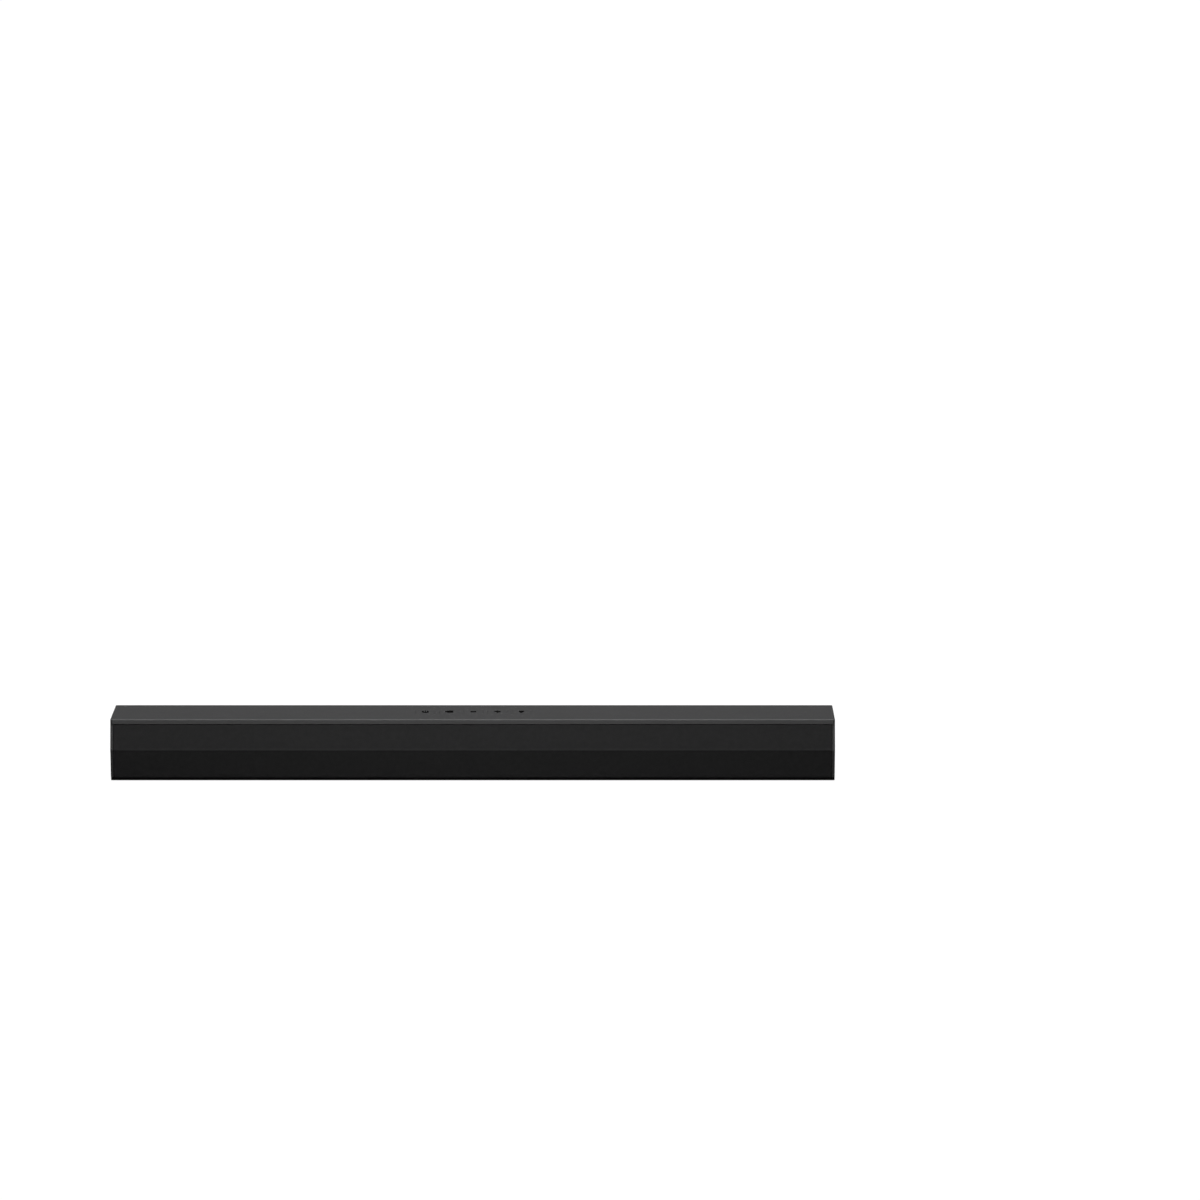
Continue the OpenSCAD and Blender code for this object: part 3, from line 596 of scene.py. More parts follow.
MODULE = Finish("blue_mask", "module_board", (0.012, 0.030, 0.11), 0.35, texture=Texture.CIRCUIT,
                grain=0.4 * MM, depth=0.03 * MM, mottle=0.15, mottle_size=5 * MM, coat=0.3)
CHIP = Finish("chip_epoxy", "chip", (0.014, 0.014, 0.015), 0.6, mottle=0.1, grain=0.25 * MM)
ALUMINIUM = Finish("extruded_aluminium", "heat_sink_metal", (0.70, 0.71, 0.72), 0.36, 1.0,
                   texture=Texture.BRUSHED, mottle=0.07)
SLEEVE = Finish("capacitor_sleeve", "capacitor_sleeve", (0.012, 0.018, 0.06), 0.3, mottle=0.08, coat=0.2)
FERRITE = Finish("pressed_ferrite", "ferrite", (0.030, 0.030, 0.032), 0.7, mottle=0.12, grain=0.4 * MM)
MAGNET = replace(FERRITE, name="ground_magnet", slot="magnet_ferrite", roughness=0.45)
NYLON = Finish("natural_nylon", "header_nylon", (0.66, 0.62, 0.50), 0.5, mottle=0.04)
SILICONE = Finish("dome_silicone", "silicone", (0.30, 0.31, 0.33), 0.55, mottle=0.05, see_through=0.2)
FILM = Finish("ribbon_film", "ribbon_film", (0.70, 0.70, 0.66), 0.3, texture=Texture.BRUSHED, mottle=0.1)
BASKET = Finish("coated_basket", "basket_metal", (0.016, 0.016, 0.018), 0.5, mottle=0.1, coat=0.1)
BUTYL = Finish("butyl_surround", "surround_rubber", (0.012, 0.012, 0.012), 0.5, mottle=0.1, grain=0.4 * MM)
RESIN_CLOTH = Finish("resin_cloth", "spider_cloth", (0.48, 0.34, 0.12), 0.8, texture=Texture.FIBRE,
                     grain=0.4 * MM, depth=0.05 * MM)
PAPER = Finish("cone_paper", "cone_paper", (0.020, 0.020, 0.021), 0.85, texture=Texture.FIBRE,
               grain=0.5 * MM, depth=0.05 * MM)
CAP_PAPER = replace(PAPER, name="cap_paper", slot="dust_cap_paper", colour=(0.015, 0.015, 0.016))
COPPER = Finish("coil_copper", "coil_copper", (0.55, 0.23, 0.08), 0.3, 1.0, texture=Texture.BRUSHED,
                mottle=0.1)
FOAM = Finish("gasket_foam", "foam", (0.012, 0.012, 0.013), 0.95, texture=Texture.PORES,
              grain=0.8 * MM, depth=0.2 * MM)
WADDING = Finish("wadding", "wadding", (0.62, 0.62, 0.60), 0.95, texture=Texture.PORES,
                 grain=1.5 * MM, depth=0.5 * MM, sheen=0.2)
SLEEVING = Finish("wire_sleeve", "wire_sleeve", (0.20, 0.012, 0.012), 0.4, mottle=0.08)


# ---------------------------------------------------------------- bench tools


def select_only(piece: bpy.types.Object) -> None:
    """Deselects everything, then selects one piece and makes it active.

    Args:
        piece: the piece.
    """
    bpy.ops.object.select_all(action="DESELECT")
    piece.select_set(True)
    bpy.context.view_layer.objects.active = piece


@contextmanager
def editing(piece: bpy.types.Object) -> Iterator[bmesh.types.BMesh]:
    """Edit mode on one piece, with nothing selected to begin with.

    Args:
        piece: the piece to edit.

    Yields:
        Its edit mesh, in which elements can be selected by place.
    """
    select_only(piece)
    bpy.ops.object.mode_set(mode="EDIT")
    bpy.ops.mesh.select_all(action="DESELECT")
    try:
        yield bmesh.from_edit_mesh(piece.data)
    finally:
        bpy.ops.object.mode_set(mode="OBJECT")


def choose_edges(mesh: bmesh.types.BMesh, test: Callable[[Vector, Vector], bool]) -> int:
    """Selects the edges whose two ends pass a test.

    Args:
        mesh: the edit mesh.
        test: called with both ends.

    Returns:
        How many were selected.
    """
    bpy.ops.mesh.select_mode(type="EDGE")
    count = 0
    for edge in mesh.edges:
        chosen = test(edge.verts[0].co, edge.verts[1].co)
        edge.select_set(chosen)
        count += chosen
    mesh.select_flush_mode()
    return count


def choose_faces(mesh: bmesh.types.BMesh, test: Callable[[bmesh.types.BMFace], bool]) -> int:
    """Selects the faces that pass a test.

    Args:
        mesh: the edit mesh.
        test: called with each face.

    Returns:
        How many were selected.
    """
    bpy.ops.mesh.select_mode(type="FACE")
    count = 0
    for face in mesh.faces:
        chosen = test(face)
        face.select_set(chosen)
        count += chosen
    mesh.select_flush_mode()
    return count


def bevel_edges(
    piece: bpy.types.Object, test: Callable[[Vector, Vector], bool], width: float, steps: int
) -> None:
    """Rounds the edges that pass a test.

    Args:
        piece: the piece.
        test: called with both ends of each edge.
        width: the bevel's width.
        steps: its segments.
    """
    with editing(piece) as mesh:
        if choose_edges(mesh, test):
            bpy.ops.mesh.bevel(offset=width, segments=steps, profile=0.5, clamp_overlap=True)


def apply_modifier(piece: bpy.types.Object, kind: str, **settings: object) -> None:
    """Adds a modifier with its settings and applies it at once.

    Args:
        piece: the piece.
        kind: the modifier's type.
        settings: its properties.
    """
    select_only(piece)
    modifier = piece.modifiers.new(kind.lower(), kind)
    for key, value in settings.items():
        setattr(modifier, key, value)
    bpy.ops.object.modifier_apply(modifier=modifier.name)


def settle(piece: bpy.types.Object) -> bpy.types.Object:
    """Moves a piece's place, turn and scale into its mesh.

    Args:
        piece: the piece.

    Returns:
        The piece.
    """
    select_only(piece)
    bpy.ops.object.transform_apply(location=True, rotation=True, scale=True)
    return piece


def block(name: str, low: Sequence[float], high: Sequence[float]) -> bpy.types.Object:
    """A box between two corners.

    Args:
        name: the piece's name.
        low: its lowest corner.
        high: its highest corner.

    Returns:
        The piece.
    """
    first, last = Vector(low), Vector(high)
    bpy.ops.object.select_all(action="DESELECT")
    bpy.ops.mesh.primitive_cube_add(size=1, location=(first + last) / 2, scale=last - first)
    piece = bpy.context.object
    piece.name = name
    return settle(piece)


def rounded_block(
    name: str, low: Sequence[float], high: Sequence[float], radius: float, steps: int = 6
) -> bpy.types.Object:
    """A box whose upright edges are rounded.

    Args:
        name: the piece's name.
        low: its lowest corner.
        high: its highest corner.
        radius: the radius seen from above.
        steps: segments in each corner.

    Returns:
        The piece.
    """
    piece = block(name, low, high)
    bevel_edges(piece, lambda a, b: abs(a.z - b.z) > MERGE, radius, steps)
    return piece


def rod(
    name: str, start: Sequence[float], end: Sequence[float], radius: float, sides: int = 32,
    end_radius: float | None = None,
) -> bpy.types.Object:
    """A round bar or a taper between two points.

    Args:
        name: the piece's name.
        start: the middle of one end.
        end: the middle of the other.
        radius: the radius at the start.
        sides: how many sides it has.
        end_radius: the radius at the end, where it differs.

    Returns:
        The piece.
    """
    first, last = Vector(start), Vector(end)
    turn = (last - first).to_track_quat("Z", "Y").to_euler()
    bpy.ops.object.select_all(action="DESELECT")
    bpy.ops.mesh.primitive_cone_add(
        vertices=sides, radius1=radius, radius2=radius if end_radius is None else end_radius,
        depth=(last - first).length, location=(first + last) / 2, rotation=turn,
    )
    piece = bpy.context.object
    piece.name = name
    return settle(piece)


def tube(
    name: str, start: Sequence[float], end: Sequence[float], outer: float, inner: float, sides: int = 32
) -> bpy.types.Object:
    """A round bar with a hole along it.

    Args:
        name: the piece's name.
        start: the middle of one end.
        end: the middle of the other.
        outer: the outer radius.
        inner: the hole's radius.
        sides: how many sides it has.

    Returns:
        The piece.
    """
    piece = rod(name, start, end, outer, sides)
    axis = (Vector(end) - Vector(start)).normalized()
    core = rod("core", Vector(start) - axis * MM, Vector(end) + axis * MM, inner, sides)
    return cut(piece, core)


def cut(piece: bpy.types.Object, *cutters: bpy.types.Object) -> bpy.types.Object:
    """Cuts pieces out of another and throws the cutters away.

    Args:
        piece: what is cut.
        cutters: what cuts it.

    Returns:
        The piece that was cut.
    """
    for cutter in cutters:
        apply_modifier(piece, "BOOLEAN", operation="DIFFERENCE", solver="EXACT", object=cutter)
        bpy.data.objects.remove(cutter)
    return piece


def join(name: str, pieces: Sequence[bpy.types.Object]) -> bpy.types.Object:
    """Joins pieces into one.

    Args:
        name: the joined piece's name.
        pieces: at least one piece.

    Returns:
        The joined piece.
    """
    select_only(pieces[0])
    for piece in pieces:
        piece.select_set(True)
    if len(pieces) > 1:
        bpy.ops.object.join()
    bpy.context.object.name = name
    return bpy.context.object


def turned_about(
    piece: bpy.types.Object, centre: Sequence[float], degrees: float, axis: str
) -> bpy.types.Object:
    """Turns a piece's mesh about a line through a point, along a frame axis.

    Args:
        piece: the piece.
        centre: a point on the line.
        degrees: how far it turns.
        axis: X, Y or Z.

    Returns:
        The piece.
    """
    middle = Vector(centre)
    turn = Matrix.Rotation(math.radians(degrees), 4, axis)
    piece.data.transform(Matrix.Translation(middle) @ turn @ Matrix.Translation(-middle))
    return piece


def smooth(piece: bpy.types.Object, degrees: float = 30.0) -> bpy.types.Object:
    """Shades a piece smooth wherever its faces meet at less than an angle, and keeps large faces flat.

    Args:
        piece: the piece.
        degrees: the angle.

    Returns:
        The piece.
    """
    select_only(piece)
    bpy.ops.object.shade_smooth_by_angle(angle=math.radians(degrees))
    apply_modifier(piece, "WEIGHTED_NORMAL", mode="FACE_AREA", weight=100, keep_sharp=True)
    return piece


def refined_copy(
    node: bpy.types.Object, name: str, width: float, steps: int = 2, sharp: float = 35.0
) -> bpy.types.Object:
    """A copy of a frame node with welded faces and softly broken edges.

    Args:
        node: the frame node.
        name: the new piece's name.
        width: the width of the broken edges.
        steps: their segments.
        sharp: the angle in degrees from which an edge is broken.

    Returns:
        The new piece.
    """
    piece = bpy.data.objects.new(name, node.data.copy())
    bpy.context.scene.collection.objects.link(piece)
    piece.data.materials.clear()
    with editing(piece):
        bpy.ops.mesh.select_all(action="SELECT")
        bpy.ops.mesh.remove_doubles(threshold=MERGE)
        bpy.ops.mesh.dissolve_limited(angle_limit=FLAT_ANGLE)
        bpy.ops.mesh.normals_make_consistent(inside=False)
    if width > 0:
        apply_modifier(
            piece, "BEVEL", width=width, segments=steps, limit_method="ANGLE",
            angle_limit=math.radians(sharp), use_clamp_overlap=True, miter_outer="MITER_ARC",
        )
    return smooth(piece, 32.0)


def fit(piece: bpy.types.Object, finish: Finish, body: str, *nodes: str) -> bpy.types.Object:
    """Dresses a finished piece and puts it on its body.

    Args:
        piece: the finished piece.
        finish: its finish.
        body: the body that it moves with.
        nodes: the frame nodes that it stands for.

    Returns:
        The piece.
    """
    finish.dress(piece)
    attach(piece, body)
    if nodes:
        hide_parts(*nodes)
    LOG.info("%s: %d faces on %s", piece.name, len(piece.data.polygons), body)
    return piece


# ---------------------------------------------------------------- housing


@dataclass(frozen=True)
class Boss:
    """The bosses above one set of screws.

    Args:
        screws: the screws' node.
        reach: how far they hang below the plate.
        radius: their outer radius.
    """

    screws: str
    reach: float
    radius: float


@dataclass
class TopCover:
    """The tray-shaped cover that closes the bar from above.

    Args:
        rim_height: height of the rim, plate included.
        rim_wall: thickness of the rim.
        plate: thickness of the plate.
        corner: radius of the upright corners.
        edge: radius along the upper edges.
        rim_edge: break along the rim's lower edge.
        front_inset: how far its front face stands back from the frame's.
        key_gap: play of a key's opening around its cap.
        key_corner: radius of an opening's corners.
        key_lip: break along an opening's edge.
        longest_lip: length up to which an edge there belongs to an opening.
        bosses: its screw bosses.
        boss_hole: radius of the hole in a boss.
        boss_root: how far a boss reaches into the plate.
    """

    rim_height: float = 4.75 * MM
    rim_wall: float = 1.2 * MM
    plate: float = 2.5 * MM
    corner: float = 2 * MM
    edge: float = 0.45 * MM
    rim_edge: float = 0.25 * MM
    front_inset: float = 0.3 * MM
    key_gap: float = 0.3 * MM
    key_corner: float = 1.6 * MM
    key_lip: float = 0.12 * MM
    longest_lip: float = 20.5 * MM
    bosses: tuple[Boss, ...] = (
        Boss("case_screws", 14.5 * MM, 3.5 * MM),
        Boss("key_board_screws", 6.0 * MM, 3.0 * MM),
    )
    boss_hole: float = 1.5 * MM
    boss_root: float = 0.2 * MM

    def build(self) -> bpy.types.Object:
        """Models the cover, its key openings and its screw bosses.

        Returns:
            The cover.
        """
        low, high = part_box("top_cover")
        low.y += self.front_inset
        rim = high.z - self.rim_height
        under = high.z - self.plate
        shell = rounded_block("top_cover_shell", (low.x, low.y, rim), high, self.corner, 10)
        bevel_edges(shell, lambda a, b: min(a.z, b.z) > high.z - MERGE, self.edge, 5)
        bevel_edges(shell, lambda a, b: max(a.z, b.z) < rim + MERGE, self.rim_edge, 2)
        wall = Vector((self.rim_wall, self.rim_wall, 0))
        hollow = rounded_block(
            "hollow", Vector((low.x, low.y, rim - MM)) + wall, Vector((high.x, high.y, under)) - wall,
            self.corner - self.rim_wall, 10,
        )
        openings = [self.opening(name, under, high.z) for name in KEY_NAMES]
        cut(shell, hollow, *openings)
        first, last = self.opening_area()
        bevel_edges(shell, lambda a, b: self.on_opening(a, b, first, last, high.z), self.key_lip, 2)
        joined = join("top_cover_shell", [shell, *(self.boss_set(boss, under) for boss in self.bosses)])
        cover = fit(smooth(joined, 30), COVER, HOUSING, "top_cover")
        # The rounded upper front edge takes the lighter finish, a painted highlight.
        EDGE_HIGHLIGHT.dress_faces(cover, lambda face: self.on_front_edge(face, low.y, high.z))
        return cover

    def on_front_edge(self, face: bpy.types.MeshPolygon, front: float, top: float) -> bool:
        """Whether a face lies on the rounded upper front edge.

        Args:
            face: the face.
            front: y of the cover's front.
            top: height of the cover's top.

        Returns:
            True on that edge.
        """
        slanted = min(-face.normal.y, face.normal.z) > 0.15
        return slanted and face.center.z > top - self.edge and face.center.y < front + self.edge

    def cap_box(self, name: str) -> Box:
        """A key cap's lowest and highest corners, without its flange.

        Args:
            name: the key's name.

        Returns:
            Both corners.
        """
        low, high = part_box(f"{name}_key")
        flange = Vector((Keys.flange, Keys.flange, 0))
        return low + flange, high - flange

    def opening(self, name: str, under: float, top: float) -> bpy.types.Object:
        """The cutter for one key's opening.

        Args:
            name: the key's name.
            under: height of the plate's underside.
            top: height of the plate's upper face.

        Returns:
            The cutter.
        """
        low, high = self.cap_box(name)
        play = self.key_gap
        return rounded_block(
            "opening", (low.x - play, low.y - play, under - MM), (high.x + play, high.y + play, top + MM),
            self.key_corner, 5,
        )

    def opening_area(self) -> Box:
        """The rectangle that holds every key opening.

        Returns:
            Its lowest and highest corners.
        """
        corners = [corner for name in KEY_NAMES for corner in self.cap_box(name)]
        play = Vector((MM, MM, 0))
        first = Vector(min(c[i] for c in corners) for i in range(3)) - play
        last = Vector(max(c[i] for c in corners) for i in range(3)) + play
        return first, last

    def on_opening(self, a: Vector, b: Vector, first: Vector, last: Vector, top: float) -> bool:
        """Whether an edge is the upper edge of a key opening.

        Args:
            a: one end.
            b: the other end.
            first: the openings' lowest corner.
            last: their highest corner.
            top: the plate's upper face.

        Returns:
            True on an opening's upper edge.
        """
        inside = all(first.x < p.x < last.x and first.y < p.y < last.y for p in (a, b))
        return inside and min(a.z, b.z) > top - MERGE and (a - b).length < self.longest_lip

    def boss_set(self, boss: Boss, under: float) -> bpy.types.Object:
        """The bosses above one set of screws.

        Args:
            boss: their sizes.
            under: height of the plate's underside.

        Returns:
            The bosses.
        """
        low, high = under - boss.reach, under + self.boss_root
        tubes = [
            tube("boss", (x, y, low), (x, y, high), boss.radius, self.boss_hole, 24)
            for x, y in screw_places(boss.screws)
        ]
        return join("bosses", tubes)


def screw_places(node: str, cell: float = 4 * MM, spacing: float = 7 * MM) -> list[tuple[float, float]]:
    """Finds the upright screws in a node, as clusters of its mesh's points seen from above.

    Args:
        node: the frame node.
        cell: the grid on which points are first gathered.
        spacing: the least distance between two screws.

    Returns:
        The (x, y) of each screw, along the bar.
    """
    mesh = bpy.data.objects[node].data
    groups: dict[tuple[int, int], list[Vector]] = {}
    for vertex in mesh.vertices:
        key = (round(vertex.co.x / cell), round(vertex.co.y / cell))
        groups.setdefault(key, []).append(vertex.co)
    centres: list[Vector] = []
    members: list[list[Vector]] = []
    for points in groups.values():
        middle = sum(points, Vector()) / len(points)
        for index, centre in enumerate(centres):
            if (middle.xy - centre.xy).length < spacing:
                members[index].extend(points)
                break
        else:
            centres.append(middle)
            members.append(list(points))
    places = []
    for points in members:
        xs = [p.x for p in points]
        ys = [p.y for p in points]
        places.append(((min(xs) + max(xs)) / 2, (min(ys) + max(ys)) / 2))
    return sorted(places)


@dataclass
class Cabinet:
    """The moulding that forms the base, the ends and the back.

    Args:
        edge: width of its broken edges.
        base_drop: how far its underside hangs below the frame's.
        cheek_edge: radius along the outer edge of a cheek.
        foot_radius: radius of a foot.
        foot_edge: radius along a foot's lower rim.
        sole_rings: widths of the rings in a foot's sole, from the rim inwards.
        sole_groove: depth of the grooves in a foot's sole.
        insert_hole: radius of the hole in a brass insert.
        insert_edge: break along an insert's outer edge.
        insert_inset: how far an insert's face lies behind the cabinet's.
        thread_radius: middle radius of the thread's turns.
        thread_line: radius of one turn's section.
        thread_start: where the first turn lies, from the insert's inner end.
        thread_pitch: distance between two turns.
        thread_turns: how many turns there are.
        thread_tilt: how far a turn leans, in radians.
    """

    edge: float = 0.45 * MM
    base_drop: float = 0.9 * MM
    cheek_edge: float = 1.5 * MM
    foot_radius: float = 9 * MM
    foot_edge: float = 0.5 * MM
    sole_rings: tuple[float, ...] = (1.6 * MM, 1.2 * MM, 1.6 * MM, 1.2 * MM)
    sole_groove: float = 0.4 * MM
    insert_hole: float = 1.95 * MM
    insert_edge: float = 0.25 * MM
    insert_inset: float = 0.02 * MM
    thread_radius: float = 1.98 * MM
    thread_line: float = 0.3 * MM
    thread_start: float = 0.4 * MM
    thread_pitch: float = 0.7 * MM
    thread_turns: int = 10
    thread_tilt: float = 0.08

    def build(self) -> None:
        """Models the cabinet and its feet, and dresses what is screwed into it."""
        nodes = bpy.data.objects
        self.moulding()
        self.feet()
        self.inserts()
        for name in ("case_screws", "driver_screws", "board_screws", "key_board_screws"):
            SCREW.dress(nodes[name])

    def moulding(self) -> bpy.types.Object:
        """The shell, with rounded cheeks at both ends of the grille and a base darkened with painted shade
        below the cloth.

        Returns:
            The shell.
        """
        low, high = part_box("cabinet")
        cloth_low, cloth_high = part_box("grille_cloth")
        shell = refined_copy(bpy.data.objects["cabinet"], "cabinet_moulding", 0.0)
        bevel_edges(shell, lambda a, b: self.on_cheek(a, b, high.x, cloth_high.y), self.cheek_edge, 5)
        apply_modifier(
            shell, "BEVEL", width=self.edge, segments=2, limit_method="ANGLE", angle_limit=math.radians(35),
            use_clamp_overlap=True, miter_outer="MITER_ARC",
        )
        for vertex in shell.data.vertices:
            if vertex.co.z < low.z + self.edge + MERGE:
                vertex.co.z -= self.base_drop
        fit(smooth(shell, 32.0), CABINET, HOUSING, "cabinet")
        # The underside and the front below the cloth get the darker finish, painted shade.
        SHADED_BASE.dress_faces(shell, lambda face: self.in_shaded_base(face, cloth_low.z, cloth_high.y))
        return shell

    def on_cheek(self, a: Vector, b: Vector, end: float, back: float) -> bool:
        """Whether an edge is the upright outer edge of a cheek.

        Args:
            a: one end.
            b: the other end.
            end: x of the cabinet's end.
            back: y of the cloth's back edge.

        Returns:
            True on such an edge.
        """
        outside = min(abs(a.x), abs(b.x)) > end - MM
        return outside and max(a.y, b.y) < back - MM and abs(a.z - b.z) > self.cheek_edge

    def in_shaded_base(self, face: bpy.types.MeshPolygon, top: float, back: float) -> bool:
        """Whether a face belongs to the base below the cloth, which is darkened as painted shade.

        Args:
            face: the face.
            top: height of the cloth's lower edge.
            back: y of the cloth's back edge.

        Returns:
            True on the underside and on the front below the cloth.
        """
        outward = min(face.normal.y, face.normal.z) < -0.5
        return face.center.z < top + 0.1 * MM and (outward or face.center.y < back)

    def feet(self) -> bpy.types.Object:
        """Four rubber feet with a rounded rim and a grooved sole.

        Returns:
            The feet, in one piece for their one node.
        """
        low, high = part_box("rubber_feet")
        reach = Vector((self.foot_radius, self.foot_radius, 0))
        first, last = low + reach, high - reach
        made = [self.foot(x, y, low.z, high.z) for x in (first.x, last.x) for y in (first.y, last.y)]
        return fit(smooth(join("grooved_feet", made), 40), RUBBER, HOUSING, "rubber_feet")

    def foot(self, x: float, y: float, low: float, high: float) -> bpy.types.Object:
        """One foot, its sole cut with round grooves.

        Args:
            x: its middle along the bar.
            y: its middle across the bar.
            low: height of its sole.
            high: height of its upper face.

        Returns:
            The foot.
        """
        foot = rod("foot", (x, y, low), (x, y, high), self.foot_radius, 64)
        bevel_edges(foot, lambda a, b: max(a.z, b.z) < low + MERGE, self.foot_edge, 3)
        middle = Vector((x, y))
        for index, width in enumerate(self.sole_rings):
            with editing(foot) as mesh:
                downward = [face for face in mesh.faces if face.normal.z < -0.99]
                inner = min(downward, key=lambda face: (face.calc_center_median().xy - middle).length)
                chosen = inner.index
                choose_faces(mesh, lambda face: face.index == chosen)
                bpy.ops.mesh.inset(thickness=width)
                step = self.sole_groove if index % 2 == 0 else -self.sole_groove
                bpy.ops.mesh.extrude_region_move(TRANSFORM_OT_translate={"value": (0, 0, step)})
        return foot

    def inserts(self) -> bpy.types.Object:
        """Two brass inserts with a thread, for a wall bracket.

        Returns:
            The inserts.
        """
        low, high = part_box("bracket_inserts")
        radius = (high.z - low.z) / 2
        height = (high.z + low.z) / 2
        face = high.y - self.insert_inset
        made = []
        for x in (low.x + radius, high.x - radius):
            body = tube("insert", (x, low.y, height), (x, face, height), radius, self.insert_hole, 40)
            bevel_edges(body, lambda a, b: min(a.y, b.y) > face - 0.1 * MM, self.insert_edge, 2)
            made.append(body)
            made += [self.thread_turn(x, low.y, height, turn) for turn in range(self.thread_turns)]
        return fit(smooth(join("threaded_inserts", made), 40), BRASS, HOUSING, "bracket_inserts")

    def thread_turn(self, x: float, inner: float, height: float, turn: int) -> bpy.types.Object:
        """One turn of an insert's thread.

        Args:
            x: the insert's middle along the bar.
            inner: y of the insert's inner end.
            height: the insert's middle height.
            turn: which turn it is, from the inner end.

        Returns:
            The turn.
        """
        bpy.ops.object.select_all(action="DESELECT")
        bpy.ops.mesh.primitive_torus_add(
            location=(x, inner + self.thread_start + turn * self.thread_pitch, height),
            rotation=(math.pi / 2, self.thread_tilt, 0), major_segments=32, minor_segments=6,
            major_radius=self.thread_radius, minor_radius=self.thread_line,
        )
        return settle(bpy.context.object)


# ---------------------------------------------------------------- grille


